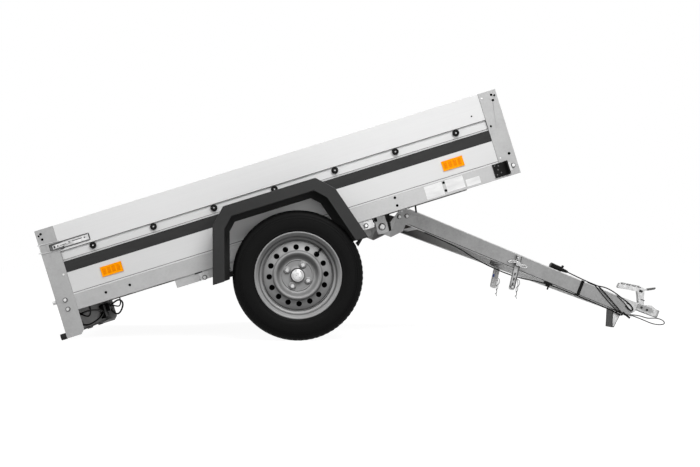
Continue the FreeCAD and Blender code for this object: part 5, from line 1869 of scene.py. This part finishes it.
@dataclass
class Studio:
    """Floor, light and camera."""

    distance: float = 5.0
    focal_px: float = 1028.0
    centre_px: Point2 = (247.0, 263.0)
    picture: Point2 = (700.0, 467.0)
    roll: float = 0.56
    offset: Point2 = (-0.21168, 0.05387)
    sensor: float = 36.0
    floor_half: float = 60000.0
    floor_deep: float = 20.0
    ambient: float = 0.3
    floor_tone: float = 0.35
    backdrop_share: float = 0.4
    backdrop_level: float = 0.94
    lamps: tuple[Lamp, ...] = (
        Lamp("key", (0.5, -4.0, 3.4), 2.2, 128.0),
        Lamp("low", (0.6, -4.2, 0.8), 1.4, 18.0),
        Lamp("top", (0.4, 0.6, 4.6), 3.0, 100.0),
        Lamp("fill", (-2.6, -3.4, 2.2), 2.6, 30.0),
    )

    def build(self) -> None:
        """Makes the floor, the world, the lamps and the camera."""
        self.floor()
        self.world()
        for lamp in self.lamps:
            lamp.light()
        self.camera()
        bpy.context.scene.view_settings.view_transform = "Standard"

    def floor(self) -> None:
        """Makes a wide floor that looks white but for the trailer's shadow."""
        half = self.floor_half
        slab = Mould().box((-half, -half, -self.floor_deep), (half, half, 0))
        made = show("floor", slab.mesh("floor", Stance((0, 0, 0), 0)))
        material = bpy.data.materials.new("pale_floor")
        material.use_nodes = True
        bench = Bench(material.node_tree)
        bench.set(Base_Color=(self.floor_tone,) * 3, Roughness=0.9, Specular_IOR_Level=0.0)
        level = self.backdrop_level / self.backdrop_share
        white = bench.node("ShaderNodeEmission", {}, {"Color": (1, 1, 1, 1), "Strength": level})
        lit = Wire(bench, bench.shader.outputs[0])
        share = bench.seen_directly() * self.backdrop_share
        bench.finish("OUTPUT_MATERIAL", bench.node("ShaderNodeMixShader", {}, {0: share, 1: lit, 2: white}))
        made.data.materials.append(material)

    def world(self) -> None:
        """Makes the world: white where it is seen or mirrored, soft where it lights."""
        world = bpy.data.worlds.new("studio")
        bpy.context.scene.world = world
        world.use_nodes = True
        bench = Bench(world.node_tree)
        soft = bench.node("ShaderNodeBackground", {}, {"Color": (1, 1, 1, 1), "Strength": self.ambient})
        white = bench.node("ShaderNodeBackground", {}, {"Color": (1, 1, 1, 1), "Strength": 1.0})
        both = bench.node("ShaderNodeMixShader", {}, {0: bench.seen_directly(), 1: soft, 2: white})
        bench.finish("OUTPUT_WORLD", both)

    def camera(self) -> None:
        """Makes the camera, level but for a slight roll."""
        lens = bpy.data.cameras.new("camera")
        lens.sensor_fit = "HORIZONTAL"
        width, height = self.picture
        lens.sensor_width = self.sensor
        lens.lens = self.sensor * self.focal_px / width
        lens.shift_x = (width / 2 - self.centre_px[0]) / width
        lens.shift_y = (self.centre_px[1] - height / 2) / width
        lens.clip_end = 200
        made = show("camera", lens)
        made.location = (BED.origin[0] + self.offset[0], -self.distance, BED.origin[2] + self.offset[1])
        level = Matrix.Rotation(math.radians(90), 4, "X")
        made.rotation_euler = (level @ Matrix.Rotation(math.radians(-self.roll), 4, "Z")).to_euler()
        bpy.context.scene.camera = made


def main() -> None:
    """Builds the trailer's looks and its studio."""
    logging.basicConfig(level=logging.INFO, format="%(message)s")
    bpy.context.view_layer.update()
    Wheel(Side.RIGHT).build()
    Wheel(Side.LEFT, vent_turn=82.2).build()
    for side in Side:
        SideFittings(side).build()
    for side in Side:
        TailFittings(side).build()
    Drawbar().build()
    for side in Side:
        DrawbarSide(side).build()
    for side in Side:
        CouplingSide(side).build()
    Coupling().build()
    Dressing().build()
    Studio().build()


if __name__ == "__main__":
    main()
